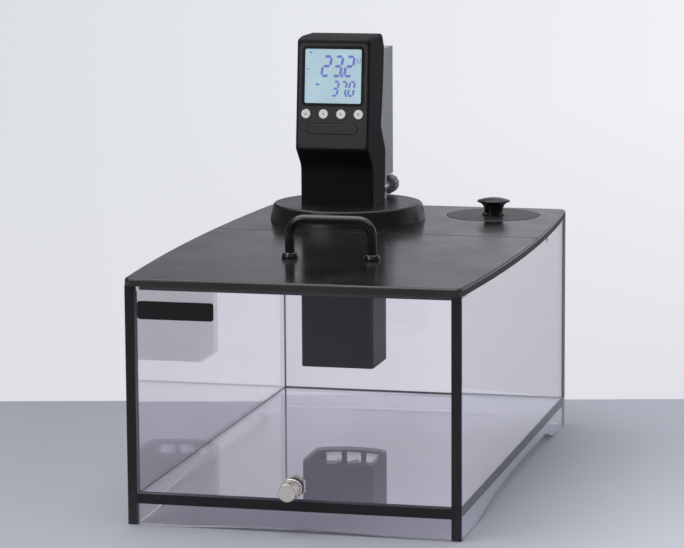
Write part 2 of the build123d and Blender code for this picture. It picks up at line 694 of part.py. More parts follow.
def column_outline(inset):
    """The plan outline of the column, shrunk by an inset, with a bowed rear wall."""
    half = COLUMN_WIDTH / 2 - inset
    front = COLUMN_Y + inset
    rear = COLUMN_Y + COLUMN_DEPTH - inset
    face = make_face([
        Line((-half, front), (half, front)),
        Line((half, front), (half, rear)),
        ThreePointArc((half, rear), (0, rear + COLUMN_BULGE), (-half, rear)),
        Line((-half, rear), (-half, front)),
    ])
    corners = face.vertices().group_by(Axis.Y)
    face = fillet(corners[-1], COLUMN_REAR_CORNER - inset)
    corners = face.vertices().group_by(Axis.Y)
    return fillet(corners[0], COLUMN_FRONT_CORNER - inset)


def column_solid(inset, z_low, z_high):
    """A full column body between two heights."""
    return extrude(Pos(HEAD_X, 0, z_low) * column_outline(inset), z_high - z_low)


def window_centres():
    """The X places of the intake windows."""
    pitch = WINDOW_WIDTH + WINDOW_BAR
    first = HEAD_X - pitch * (WINDOW_COUNT - 1) / 2
    return [first + index * pitch for index in range(WINDOW_COUNT)]


def pump_column():
    """The immersed sleeve, open below, with the outlet recess in front and windows behind."""
    sleeve = column_solid(0, COLUMN_FOOT_Z, FLANGE_SEAT_Z)
    sleeve -= column_solid(COLUMN_WALL, COLUMN_FOOT_Z - 1, FLANGE_SEAT_Z + 1)
    outlet_z = COLUMN_FOOT_Z + OUTLET_Z_ABOVE_FOOT
    face = Plane(origin=(HEAD_X, COLUMN_Y, outlet_z), x_dir=(1, 0, 0), z_dir=(0, -1, 0))
    slot = face * Pos(OUTLET_SLOT_SHIFT, 0) * SlotOverall(OUTLET_WIDTH, OUTLET_HEIGHT)
    dot = face * Pos(OUTLET_DOT_SHIFT, 0) * Circle(OUTLET_DIAMETER / 2)
    sleeve -= extrude(slot, -OUTLET_RECESS)
    sleeve -= extrude(dot, -OUTLET_RECESS)
    rear = COLUMN_Y + COLUMN_DEPTH
    window_z = COLUMN_FOOT_Z + WINDOW_ABOVE_FOOT
    for x in window_centres():
        sleeve -= block(
            x - WINDOW_WIDTH / 2, x + WINDOW_WIDTH / 2,
            rear - COLUMN_WALL - 1, rear + COLUMN_BULGE + 1,
            window_z, window_z + WINDOW_HEIGHT,
        )
    return sleeve


# Circulator head

def head_face(inset):
    """The side outline of the head shell: neck, chin, leaning face and waisted back."""
    lean = tan(radians(BEZEL_LEAN))
    front = COLUMN_Y + inset
    brow_up = BEZEL_HEIGHT + BROW_MARGIN
    brow_y = CHIN_Y + brow_up * lean
    top = HEAD_TOP_Z - inset
    back = NECK_BACK_Y - inset
    neck_drop = inset * tan(radians(30))
    waist_z = FLANGE_Z + WAIST_HEIGHT
    back_top_z = HEAD_TOP_Z - BACK_CORNER_DROP
    neck = yz(front, FLANGE_Z + NECK_HEIGHT - neck_drop)
    chin = yz(CHIN_Y + inset, CHIN_Z - neck_drop)
    brow = yz(brow_y + inset, CHIN_Z + brow_up - inset / 2)
    crown = yz(brow_y + BROW_DEPTH + inset / 3, top)
    crown_back = yz(back - BACK_CORNER_DEPTH, top)
    back_top = yz(back, back_top_z)
    back_middle = yz(back - WAIST_DEPTH * 0.38, (back_top_z + waist_z) / 2)
    waist = yz(back - WAIST_DEPTH, waist_z)
    hip = yz(back + HIP_REACH, FLANGE_Z + HIP_HEIGHT)
    foot_back = yz(back, FLANGE_Z)
    foot_front = yz(front, FLANGE_Z)
    face = make_face([
        Line(foot_front, neck),
        Line(neck, chin),
        Line(chin, brow),
        Line(brow, crown),
        Line(crown, crown_back),
        Line(crown_back, back_top),
        ThreePointArc(back_top, back_middle, waist),
        Line(waist, hip),
        Line(hip, foot_back),
        Line(foot_back, foot_front),
    ])
    rounds = (
        (neck, NECK_ROUND + inset),
        (chin, CHIN_ROUND),
        (brow, CROWN_ROUND - inset / 2),
        (crown, CROWN_ROUND - inset / 2),
        (crown_back, CROWN_ROUND - inset / 2),
        (back_top, CROWN_ROUND - inset / 2),
        (waist, WAIST_ROUND + inset),
        (hip, HIP_ROUND - inset),
    )
    for corner, radius in rounds:
        nearest = min(face.vertices(), key=lambda vertex: (vertex.center() - Vector(*corner)).length)
        face = fillet(nearest, radius)
    return face


def head_solid(inset):
    """The head's outer or inner body."""
    half = COLUMN_WIDTH / 2 - inset
    body = extrude(head_face(inset), amount=2 * half, dir=(1, 0, 0))
    return body.moved(Pos(HEAD_X - half, 0, 0))


def head_prism(inset):
    """The head's side outline carried past both sides, for trimming what joins its back."""
    body = extrude(head_face(inset), amount=2 * COLUMN_WIDTH, dir=(1, 0, 0))
    return body.moved(Pos(HEAD_X - COLUMN_WIDTH, 0, 0))


def bezel_sketch(margin):
    """The bezel outline in its own leaning plane, from the chin upward."""
    height = BEZEL_HEIGHT - 2 * BEZEL_MARGIN
    return RectangleRounded(BEZEL_WIDTH + 2 * margin, height + 2 * margin, BEZEL_CORNER + margin)


def head_shell():
    """The moulded front shell, hollow, with the bezel recess and a cable window at the back."""
    outer = head_solid(0)
    side_edges = outer.edges().filter_by(lambda edge: abs(edge.center().X - HEAD_X) > COLUMN_WIDTH / 2 - 0.1)
    above = [edge for edge in side_edges if edge.center().Z > FLANGE_Z + 1]
    outer = fillet(above, HEAD_EDGE_ROUND)
    shell = outer - head_solid(HEAD_WALL)
    shell -= block(HEAD_X - COLUMN_WIDTH / 2 + HEAD_WALL, HEAD_X + COLUMN_WIDTH / 2 - HEAD_WALL,
                   COLUMN_Y + HEAD_WALL, NECK_BACK_Y - HEAD_WALL, FLANGE_Z - 1, FLANGE_Z + HEAD_WALL + 1)
    middle = BEZEL_HEIGHT / 2
    shell -= leaning(0, middle, -BEZEL_RECESS, 1, bezel_sketch(BEZEL_FIT))
    width = COLUMN_WIDTH - 2 * (BEZEL_MARGIN + BEZEL_LEDGE)
    height = BEZEL_HEIGHT - 2 * (BEZEL_MARGIN + 3 * BEZEL_LEDGE)
    shell -= leaning(0, middle, -HEAD_WALL - 2, 1, RectangleRounded(width, height, BEZEL_LEDGE))
    half = CABLE_WINDOW / 2
    window_front = NECK_BACK_Y - WAIST_DEPTH - HEAD_WALL
    window = block(HEAD_X - half, HEAD_X + half, window_front, BACK_Y, REAR_CABLE_Z - half, REAR_CABLE_Z + half)
    return shell - window


def rear_housing():
    """The rounded rear cover behind the shell, hollow, with a skirt down to the flange."""
    half = COLUMN_WIDTH / 2 - REAR_HOUSING_INSET
    front = NECK_BACK_Y - REAR_HOUSING_LAP
    low = FLANGE_Z + REAR_HOUSING_FOOT
    high = FLANGE_Z + REAR_HOUSING_TOP
    skirt_back = NECK_BACK_Y + REAR_SKIRT_REACH
    wall = REAR_HOUSING_WALL
    body = block(HEAD_X - half, HEAD_X + half, front, BACK_Y, low, high)
    rounded = body.edges().filter_by(lambda edge: edge.center().Y > BACK_Y - 0.1)
    body = fillet(rounded, REAR_HOUSING_ROUND)
    body += block(HEAD_X - half, HEAD_X + half, NECK_BACK_Y, skirt_back, FLANGE_Z + REST_GAP, low + wall)
    inner = half - wall
    body -= block(HEAD_X - inner, HEAD_X + inner, front - 1, BACK_Y - wall, low + wall, high - wall)
    skirt_top = low + wall + 1
    body -= block(HEAD_X - inner, HEAD_X + inner, NECK_BACK_Y - 1, skirt_back - wall, FLANGE_Z - 1, skirt_top)
    body -= head_prism(-JOIN_GAP)
    hole = OUTLET_FOOT_DIAMETER + 2 * JOIN_GAP
    body -= frontal(OUTLET_PIPE_X, OUTLET_PIPE_Z, NECK_BACK_Y - 1, skirt_back + 1, hole)
    body -= rear_cutter(INLET_UP, INLET_WIDTH, INLET_HEIGHT)
    body -= rear_cutter(ROCKER_UP, ROCKER_WIDTH, ROCKER_HEIGHT)
    return max(body.solids(), key=lambda solid: solid.volume)


def rear_cutter(up, width, height):
    """A rectangular cut through the back of the rear housing."""
    z = FLANGE_Z + up
    half = width / 2 + SCREW_CLEARANCE
    rise = height / 2 + SCREW_CLEARANCE
    return block(HEAD_X - half, HEAD_X + half, BACK_Y - 10, BACK_Y + 1, z - rise, z + rise)


def bezel_panel():
    """The inset front panel with its screen opening, key holes and pill groove."""
    low = -BEZEL_RECESS
    high = low + BEZEL_THICKNESS
    panel = leaning(0, BEZEL_HEIGHT / 2, low, high, bezel_sketch(0))
    screen_v = SCREEN_LOW + SCREEN_HEIGHT / 2
    panel -= leaning(0, screen_v, high - SCREEN_THICKNESS, high + 1, screen_sketch(SCREW_CLEARANCE))
    panel -= leaning(0, screen_v, low - 1, high + 1, screen_sketch(-SCREEN_LEDGE))
    for u in button_places():
        panel -= leaning(u, BUTTON_UP, low - 1, high + 1, Circle(BUTTON_DIAMETER / 2 + BUTTON_GAP))
    panel -= leaning(0, PILL_UP, low - 1, high + 1, pill_sketch(PILL_GAP))
    notch = PILL_UP - PILL_HEIGHT / 2 - PILL_GAP
    return panel - leaning(0, notch, low + BEZEL_THICKNESS / 2, high + 1, Circle(1.4))


def screen_sketch(margin):
    """The screen's rounded rectangle."""
    return RectangleRounded(SCREEN_WIDTH + 2 * margin, SCREEN_HEIGHT + 2 * margin, SCREEN_CORNER)


def pill_sketch(margin):
    """The pill key's outline."""
    return SlotOverall(PILL_WIDTH + 2 * margin, PILL_HEIGHT + 2 * margin)


def button_places():
    """The round keys, along the bezel's width."""
    first = -BUTTON_SPACING * (BUTTON_COUNT - 1) / 2
    return [first + index * BUTTON_SPACING for index in range(BUTTON_COUNT)]


def display_window():
    """The clear window of the screen."""
    high = -BEZEL_RECESS + BEZEL_THICKNESS
    return leaning(0, SCREEN_LOW + SCREEN_HEIGHT / 2, high - SCREEN_THICKNESS, high, screen_sketch(0))


def display_module():
    """The display behind the window, on the control board."""
    back = -BEZEL_RECESS - BOARD_BEHIND
    front = -BEZEL_RECESS
    sketch = RectangleRounded(SCREEN_WIDTH, SCREEN_HEIGHT, SCREEN_CORNER)
    frame = leaning(0, SCREEN_LOW + SCREEN_HEIGHT / 2, back, front - REST_GAP, sketch)
    inset = SCREEN_LEDGE + REST_GAP
    glass = RectangleRounded(SCREEN_WIDTH - 2 * inset, SCREEN_HEIGHT - 2 * inset, SCREEN_CORNER)
    return frame + leaning(0, SCREEN_LOW + SCREEN_HEIGHT / 2, front - 0.5, front + 0.5, glass)


def control_board():
    """The circuit board behind the bezel."""
    front = -BEZEL_RECESS - BOARD_BEHIND
    width = COLUMN_WIDTH - 2 * HEAD_WALL - 2 * BOARD_SIDE_GAP
    board = RectangleRounded(width, BEZEL_HEIGHT - 2 * BOARD_END_GAP, BOARD_SIDE_GAP)
    return leaning(0, BEZEL_HEIGHT / 2, front - BOARD_THICKNESS, front, board)


def key_switches():
    """The small switches under the keys."""
    board = -BEZEL_RECESS - BOARD_BEHIND
    places = [(u, BUTTON_UP) for u in button_places()] + [(0, PILL_UP)]
    bodies = []
    for u, v in places:
        body = leaning(u, v, board, board + SWITCH_HEIGHT, Rectangle(SWITCH_SIDE, SWITCH_SIDE))
        bodies.append(body)
    return Compound(children=bodies)


def key(u, v, sketch, collar_sketch, proud):
    """A key cap with a collar behind the bezel and a stem above its switch."""
    behind = -BEZEL_RECESS - REST_GAP
    front = -BEZEL_RECESS + BEZEL_THICKNESS + proud
    cap = leaning(u, v, behind - KEY_COLLAR, front, sketch)
    face = cap.faces().sort_by(Axis((0, 0, 0), (0, LEAN_Y, LEAN_Z)))[-1]
    cap = fillet(face.edges(), 0.45)
    collar = leaning(u, v, behind - KEY_COLLAR, behind, collar_sketch)
    switch_top = -BEZEL_RECESS - BOARD_BEHIND + SWITCH_HEIGHT
    stem = leaning(u, v, switch_top + BUTTON_TRAVEL + REST_GAP, behind - KEY_COLLAR / 2, Circle(1.6))
    return cap + collar + stem


def round_button(index):
    """One silver round key."""
    radius = BUTTON_DIAMETER / 2
    u = button_places()[index]
    return key(u, BUTTON_UP, Circle(radius), Circle(radius + KEY_COLLAR_RIM), BUTTON_PROUD)


def pill_button():
    """The wide key below the round keys."""
    return key(0, PILL_UP, pill_sketch(0), pill_sketch(KEY_COLLAR_RIM), PILL_PROUD)


# Circulator: inside pieces

def motor():
    """The pump motor on the flange, with a bore for the shaft."""
    can = upright(HEAD_X, PUMP_Y, FLANGE_Z, FLANGE_Z + MOTOR_HEIGHT, MOTOR_DIAMETER)
    can = fillet(can.edges().group_by(Axis.Z)[-1], 3)
    bore_diameter = SHAFT_DIAMETER + 2 * SHAFT_CLEARANCE
    bore = upright(HEAD_X, PUMP_Y, FLANGE_Z - 1, FLANGE_Z + MOTOR_HEIGHT * 0.8, bore_diameter)
    return can - bore


def shaft_bearing():
    """The sealed bearing in the flange hub."""
    low = FLANGE_Z - BEARING_HEIGHT
    bore = SHAFT_DIAMETER + 2 * SHAFT_CLEARANCE
    return ring(HEAD_X, PUMP_Y, low, FLANGE_Z, FLANGE_HUB_DIAMETER, bore)


def pump_shaft():
    """The shaft from the motor down to the impeller."""
    low = COLUMN_FOOT_Z + IMPELLER_ABOVE_FLOOR
    return upright(HEAD_X, PUMP_Y, low, FLANGE_Z + MOTOR_HEIGHT * 0.8 - 2, SHAFT_DIAMETER)


def impeller():
    """The pump wheel: a hub, a disc and radial blades."""
    low = COLUMN_FOOT_Z + IMPELLER_ABOVE_FLOOR
    high = low + IMPELLER_HEIGHT
    wheel = upright(0, 0, low, high, IMPELLER_HUB_DIAMETER)
    wheel += upright(0, 0, high - IMPELLER_DISC, high, IMPELLER_DIAMETER)
    blade_length = IMPELLER_DIAMETER / 2 - 1
    for index in range(IMPELLER_BLADES):
        blade = block(2, blade_length, -IMPELLER_BLADE / 2, IMPELLER_BLADE / 2, low, high)
        wheel += Rot(0, 0, index * 360 / IMPELLER_BLADES) * blade
    wheel -= upright(0, 0, low - 1, high + 1, SHAFT_DIAMETER)
    return Pos(HEAD_X, PUMP_Y, 0) * wheel


def heater_element():
    """Two hairpin heater tubes hanging from the flange."""
    low = COLUMN_FOOT_Z + IMPELLER_ABOVE_FLOOR + IMPELLER_HEIGHT + HEATER_ABOVE_IMPELLER
    half = COLUMN_WIDTH / 2 - HEATER_FROM_SIDE
    tubes = []
    for offset in (-HEATER_FROM_AXIS, HEATER_FROM_AXIS):
        y = PUMP_Y + offset
        path = FilletPolyline(
            (HEAD_X - half, y, FLANGE_SEAT_Z),
            (HEAD_X - half, y, low + HEATER_DIAMETER / 2),
            (HEAD_X + half, y, low + HEATER_DIAMETER / 2),
            (HEAD_X + half, y, FLANGE_SEAT_Z),
            radius=HEATER_BEND,
        )
        section = Plane(origin=path @ 0, z_dir=path % 0) * Circle(HEATER_DIAMETER / 2)
        tubes.append(sweep(section, path=path))
    return Compound(children=tubes)


def temperature_probe():
    """The sensor rod."""
    low = COLUMN_FOOT_Z + IMPELLER_ABOVE_FLOOR + IMPELLER_HEIGHT + 3
    rod = upright(PROBE_X, PUMP_Y, low, FLANGE_SEAT_Z, PROBE_DIAMETER)
    return fillet(rod.edges().group_by(Axis.Z)[0], PROBE_DIAMETER / 2 - 0.2)


def level_stem():
    """The fixed stem of the level switch, with a stop at each end of the float's travel."""
    stop_z = COLUMN_FOOT_Z + FLOAT_STOP_ABOVE_FOOT
    stem = upright(FLOAT_X, PUMP_Y, stop_z, FLANGE_SEAT_Z, FLOAT_STEM_DIAMETER)
    stem += upright(FLOAT_X, PUMP_Y, stop_z, stop_z + FLOAT_STOP, FLOAT_STEM_DIAMETER + 3)
    upper = stop_z + FLOAT_STOP + FLOAT_HEIGHT + FLOAT_TRAVEL + 2 * REST_GAP
    return stem + upright(FLOAT_X, PUMP_Y, upper, upper + FLOAT_STOP, FLOAT_STEM_DIAMETER + 3)


def level_float():
    """The float that slides on the stem."""
    low = COLUMN_FOOT_Z + FLOAT_STOP_ABOVE_FOOT + FLOAT_STOP + REST_GAP
    bore = FLOAT_STEM_DIAMETER + 2 * SHAFT_CLEARANCE
    return ring(FLOAT_X, PUMP_Y, low, low + FLOAT_HEIGHT, FLOAT_DIAMETER, bore)


def power_board():
    """The power board in the rear housing."""
    half = COLUMN_WIDTH / 2 - REAR_HOUSING_INSET - REAR_HOUSING_WALL - 1
    y = BACK_Y - REAR_HOUSING_WALL - INLET_DEPTH - 2
    return block(HEAD_X - half, HEAD_X + half, y - BOARD_THICKNESS, y,
                 FLANGE_Z + REAR_HOUSING_FOOT + REAR_HOUSING_WALL, FLANGE_Z + REAR_HOUSING_TOP - 20)


# Circulator: back panel

def inlet_socket():
    """The power inlet with its open cavity."""
    z = FLANGE_Z + INLET_UP
    half = INLET_WIDTH / 2
    rise = INLET_HEIGHT / 2
    face = BACK_Y + INLET_RIM
    body = block(HEAD_X - half, HEAD_X + half, BACK_Y - INLET_DEPTH, face, z - rise, z + rise)
    wide = half + INLET_RIM_WIDTH
    tall = rise + INLET_RIM_WIDTH
    body += block(HEAD_X - wide, HEAD_X + wide, BACK_Y, face, z - tall, z + tall)
    mouth = half - INLET_WALL
    lift = rise - INLET_WALL
    return body - block(HEAD_X - mouth, HEAD_X + mouth, face - INLET_CAVITY_DEPTH, face + 1, z - lift, z + lift)


def inlet_pins():
    """The three blades in the inlet."""
    z = FLANGE_Z + INLET_UP
    floor_y = BACK_Y + INLET_RIM - INLET_CAVITY_DEPTH
    blades = []
    for x, rise in ((-PIN_SPACING, -PIN_DROP), (0, PIN_DROP), (PIN_SPACING, -PIN_DROP)):
        blade = Box(PIN_THICKNESS, PIN_LENGTH, PIN_WIDTH)
        blades.append(Pos(HEAD_X + x, floor_y + PIN_LENGTH / 2, z + rise) * blade)
    return Compound(children=blades)


def switch_frame():
    """The frame of the mains switch."""
    z = FLANGE_Z + ROCKER_UP
    half = ROCKER_WIDTH / 2
    rise = ROCKER_HEIGHT / 2
    face = BACK_Y + ROCKER_RIM
    body = block(HEAD_X - half, HEAD_X + half, BACK_Y - ROCKER_DEPTH, face, z - rise, z + rise)
    wide = half + ROCKER_RIM_WIDTH
    tall = rise + ROCKER_RIM_WIDTH
    body += block(HEAD_X - wide, HEAD_X + wide, BACK_Y, face, z - tall, z + tall)
    mouth = half - ROCKER_WALL
    lift = rise - ROCKER_WALL
    floor_y = BACK_Y - ROCKER_DEPTH + ROCKER_WALL
    return body - block(HEAD_X - mouth, HEAD_X + mouth, floor_y, face + 1, z - lift, z + lift)


def rocker_switch():
    """The rocker, tilted to one side, turning about an upright axis in its frame."""
    half = ROCKER_WIDTH / 2 - ROCKER_WALL
    rise = ROCKER_HEIGHT / 2 - ROCKER_WALL - ROCKER_SIDE_GAP
    pivot = Pos(HEAD_X, ROCKER_PIVOT_Y, FLANGE_Z + ROCKER_UP)
    reach = half * cos(radians(ROCKER_TILT)) - ROCKER_SWING_GAP
    low = -ROCKER_BELOW
    high = ROCKER_ABOVE
    outline = [
        Line((-reach, low, 0), (reach, low, 0)),
        Line((reach, low, 0), (reach, high, 0)),
        ThreePointArc((reach, high, 0), (0, high - ROCKER_DISH, 0), (-reach, high, 0)),
        Line((-reach, high, 0), (-reach, low, 0)),
    ]
    cap = extrude(Pos(0, 0, -rise) * make_face(outline), 2 * rise, dir=(0, 0, 1))
    return pivot * (Rot(0, 0, ROCKER_TILT) * cap)


def rear_outlet():
    """The outlet pipe low on the head's back, with a foot against the neck."""
    pipe = frontal(OUTLET_PIPE_X, OUTLET_PIPE_Z, NECK_BACK_Y, OUTLET_CAP_Y, OUTLET_PIPE_DIAMETER)
    foot_end = NECK_BACK_Y + HIP_REACH + OUTLET_FOOT
    foot = frontal(OUTLET_PIPE_X, OUTLET_PIPE_Z, NECK_BACK_Y, foot_end, OUTLET_FOOT_DIAMETER)
    spigot_end = OUTLET_CAP_Y + OUTLET_CAP_LENGTH - OUTLET_CAP_WALL - REST_GAP
    spigot = frontal(OUTLET_PIPE_X, OUTLET_PIPE_Z, OUTLET_CAP_Y - 1, spigot_end, OUTLET_SPIGOT_DIAMETER)
    bore_start = NECK_BACK_Y + HIP_REACH + OUTLET_FOOT
    bore = frontal(OUTLET_PIPE_X, OUTLET_PIPE_Z, bore_start, spigot_end + 1, OUTLET_BORE_DIAMETER)
    return pipe + foot + spigot - bore - head_prism(0)


def outlet_cap():
    """The fluted cap that turns on the outlet's spigot."""
    start = OUTLET_CAP_Y + REST_GAP
    end = OUTLET_CAP_Y + OUTLET_CAP_LENGTH
    cap = frontal(OUTLET_PIPE_X, OUTLET_PIPE_Z, start, end, OUTLET_CAP_DIAMETER)
    cap = chamfer(cap.edges().filter_by(GeomType.CIRCLE), 1.2)
    radius = OUTLET_CAP_DIAMETER / 2 + 0.7
    for index in range(OUTLET_CAP_FLUTES):
        angle = radians(index * 360 / OUTLET_CAP_FLUTES)
        x = OUTLET_PIPE_X + radius * cos(angle)
        z = OUTLET_PIPE_Z + radius * sin(angle)
        cap -= frontal(x, z, start - 1, end + 1, 3)
    bore = OUTLET_SPIGOT_DIAMETER + 2 * SHAFT_CLEARANCE
    return cap - frontal(OUTLET_PIPE_X, OUTLET_PIPE_Z, start - 1, end - OUTLET_CAP_WALL, bore)


def main():
    """Build every sub-part and write it."""
    os.makedirs("parts", exist_ok=True)
    save("left_side_panel", side_panel(-1))
    save("right_side_panel", side_panel(1))
    save("front_panel", front_panel())
    save("rear_panel", rear_panel())
    save("bottom_panel", bottom_panel())
    save("front_apron", apron(FRONT_Y))
    save("rear_apron", apron(REAR_Y - SHEET))
    save("name_plate", name_plate())
    save("drain_bushing", drain_bushing())
    save("drain_gaskets", drain_gaskets())
    save("drain_nut", drain_nut())
    save("drain_plug", drain_plug())
    save("plug_seal", plug_seal())
    save("front_lid", front_lid())
    save("handle_bar", handle_bar())
    save("handle_collars", handle_collars())
    save("handle_screws", handle_screws())
    save("bridge_plate", bridge_plate())
    save("bridge_screws", bridge_screws())
    save("port_cover", port_cover())
    save("cover_knob", cover_knob())
    save("knob_screw", knob_screw())
    save("mount_flange", mount_flange())
    save("pump_column", pump_column())
    save("shaft_bearing", shaft_bearing())
    save("motor", motor())
    save("pump_shaft", pump_shaft())
    save("impeller", impeller())
    save("heater_element", heater_element())
    save("temperature_probe", temperature_probe())
    save("level_stem", level_stem())
    save("level_float", level_float())
    save("head_shell", head_shell())
    save("rear_housing", rear_housing())
    save("bezel_panel", bezel_panel())
    save("display_window", display_window())
    save("display_module", display_module())
    save("control_board", control_board())
    save("key_switches", key_switches())
    for index in range(BUTTON_COUNT):
        save(f"round_button_{index + 1}", round_button(index))
    save("pill_button", pill_button())
    save("power_board", power_board())
    save("inlet_socket", inlet_socket())
    save("inlet_pins", inlet_pins())
    save("switch_frame", switch_frame())
    save("rocker_switch", rocker_switch())
    save("rear_outlet", rear_outlet())
    save("outlet_cap", outlet_cap())


main()
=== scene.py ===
"""Finishes, small parts and studio of the laboratory water bath."""
import logging
import math
from dataclasses import dataclass, field
from enum import Enum

import bmesh
import bpy
from bmesh.types import BMesh
from bpy.types import Material, Mesh, Node, NodeSocket, NodeTree
from mathutils import Matrix, Vector


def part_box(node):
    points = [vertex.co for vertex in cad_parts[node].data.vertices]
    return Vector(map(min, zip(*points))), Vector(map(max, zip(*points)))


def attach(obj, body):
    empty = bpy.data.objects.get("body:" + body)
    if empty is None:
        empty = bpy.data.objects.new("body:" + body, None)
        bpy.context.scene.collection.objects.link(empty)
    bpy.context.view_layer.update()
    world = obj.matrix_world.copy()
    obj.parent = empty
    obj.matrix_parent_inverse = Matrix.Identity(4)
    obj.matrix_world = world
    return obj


LOG = logging.getLogger("water_bath")
MM = 0.001

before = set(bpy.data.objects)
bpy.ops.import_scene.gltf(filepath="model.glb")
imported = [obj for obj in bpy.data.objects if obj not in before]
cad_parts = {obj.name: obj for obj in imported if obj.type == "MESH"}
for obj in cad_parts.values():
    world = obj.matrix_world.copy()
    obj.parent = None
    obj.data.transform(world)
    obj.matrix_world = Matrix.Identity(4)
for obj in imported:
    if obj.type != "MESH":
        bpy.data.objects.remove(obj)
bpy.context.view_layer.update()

Colour = tuple[float, float, float, float]
Outline = list[tuple[float, float]]
# The two ends of a range of values, and the results at these ends.
Ramp = tuple[float, float, float, float]
# The place, turn and growth of each copy.
Copies = list[tuple[Vector, Vector, Vector]]
# A socket to link from, or a plain value for the input.
Source = NodeSocket | float | tuple | Vector | str


def linear(red: int, green: int, blue: int) -> Colour:
    """Turn a screen colour into the linear colour that a shader takes.

    Args:
        red: red from 0 to 255.
        green: green from 0 to 255.
        blue: blue from 0 to 255.

    Returns:
        The linear colour with an alpha of 1.
    """
    parts = []
    for part in (red, green, blue):
        share = part / 255
        parts.append(share / 12.92 if share <= 0.04045 else ((share + 0.055) / 1.055) ** 2.4)
    return (parts[0], parts[1], parts[2], 1.0)


class Body(Enum):
    """The moving bodies that new pieces ride on."""

    TANK = "tank"
    CIRCULATOR = "circulator"
    ROCKER = "rocker"
    BUTTON_1 = "button_1"
    BUTTON_2 = "button_2"
    BUTTON_3 = "button_3"
    BUTTON_4 = "button_4"


class Slot(Enum):
    """The names of the record's material slots; no piece here takes its finish from them."""

    SHEET = "smoked_sheet"
    SHELL = "shell_black"
    STEEL = "steel"
    DISPLAY = "display"
    KEY = "key_silver"


class Wiring:
    """Adds and links the nodes of one tree."""

    def __init__(self, tree: NodeTree) -> None:
        """Keep the tree."""
        self.tree = tree

    def add(self, kind: str, sockets: dict | None = None, **settings: object) -> Node:
        """Add a node.

        Args:
            kind: the node's class name.
            sockets: input values or sources, by socket name or number.
            settings: the node's own properties.

        Returns:
            The new node.
        """
        node = self.tree.nodes.new(kind)
        for name, value in settings.items():
            setattr(node, name, value)
        for name, value in (sockets or {}).items():
            self.feed(value, node.inputs[name])
        return node

    def feed(self, value: Source, socket: NodeSocket) -> None:
        """Link a source socket to an input, or set the input's own value.

        Args:
            value: an output socket or a plain value.
            socket: the input socket.
        """
        if isinstance(value, NodeSocket):
            self.tree.links.new(value, socket)
        else:
            socket.default_value = value

    def group(self, tree: NodeTree, sockets: dict | None = None) -> Node:
        """Add a shader node group."""
        return self.add("ShaderNodeGroup", sockets, node_tree=tree)

    def math(self, operation: str, first: Source, second: Source = 0.0, clamp: bool = False) -> NodeSocket:
        """Work out a value from two others; clamp keeps it between 0 and 1."""
        node = self.add("ShaderNodeMath", {0: first, 1: second}, operation=operation, use_clamp=clamp)
        return node.outputs[0]

    def times(self, first: Source, second: Source, clamp: bool = False) -> NodeSocket:
        """Multiply two values."""
        return self.math("MULTIPLY", first, second, clamp)

    def rest(self, value: Source) -> NodeSocket:
        """What a value leaves of 1."""
        return self.math("SUBTRACT", 1.0, value)

    def dot(self, first: Source, second: Source) -> NodeSocket:
        """The dot product of two vectors."""
        node = self.add("ShaderNodeVectorMath", {0: first, 1: second}, operation="DOT_PRODUCT")
        return node.outputs["Value"]

    def part(self, vector: Source, axis: str) -> NodeSocket:
        """One part of a vector, by the name of its axis."""
        return self.add("ShaderNodeSeparateXYZ", {"Vector": vector}).outputs[axis]

    def place(self) -> NodeSocket:
        """The shaded point in its object's own coordinates."""
        return self.add("ShaderNodeTexCoord").outputs["Object"]

    def noise(self, place: Source, scale: Source, detail: float = 2.0) -> NodeSocket:
        """A noise value at a place."""
        sockets = {"Vector": place, "Scale": scale, "Detail": detail}
        return self.add("ShaderNodeTexNoise", sockets).outputs[0]

    def blend(self, factor: Source, first: Source, second: Source) -> NodeSocket:
        """Mix two colours; the factor is the share of the second."""
        node = self.add("ShaderNodeMix", {0: factor, 6: first, 7: second}, data_type="RGBA")
        return node.outputs[2]

    def scale(self, vector: Source, factor: Source) -> NodeSocket:
        """Multiply a colour or another vector by a factor."""
        plain = vector if isinstance(vector, NodeSocket) else tuple(vector)[:3]
        return self.add("ShaderNodeVectorMath", {0: plain, "Scale": factor}, operation="SCALE").outputs[0]

    def spread(self, value: Source, low: float, high: float, new_low: float, new_high: float) -> NodeSocket:
        """Map the range from low to high to the range from new_low to new_high, clamped."""
        sockets = {"Value": value, "From Min": low, "From Max": high, "To Min": new_low, "To Max": new_high}
        return self.add("ShaderNodeMapRange", sockets).outputs["Result"]


def new_group(
    name: str,
    kind: str,
    inputs: dict[str, tuple[str, object]],
    outputs: dict[str, str],
) -> tuple[NodeTree, Wiring, Node, Node]:
    """Start a node group with its sockets.

    Args:
        name: the group's name.
        kind: the tree's class name.
        inputs: socket type and default by input name; None leaves the type's own default.
        outputs: socket type by output name.

    Returns:
        The tree, its wiring, its input node and its output node.
    """
    tree = bpy.data.node_groups.new(name, kind)
    for label, (socket_type, default) in inputs.items():
        socket = tree.interface.new_socket(name=label, in_out="INPUT", socket_type=socket_type)
        if default is not None:
            socket.default_value = default
    for label, socket_type in outputs.items():
        tree.interface.new_socket(name=label, in_out="OUTPUT", socket_type=socket_type)
    wiring = Wiring(tree)
    return tree, wiring, wiring.add("NodeGroupInput"), wiring.add("NodeGroupOutput")


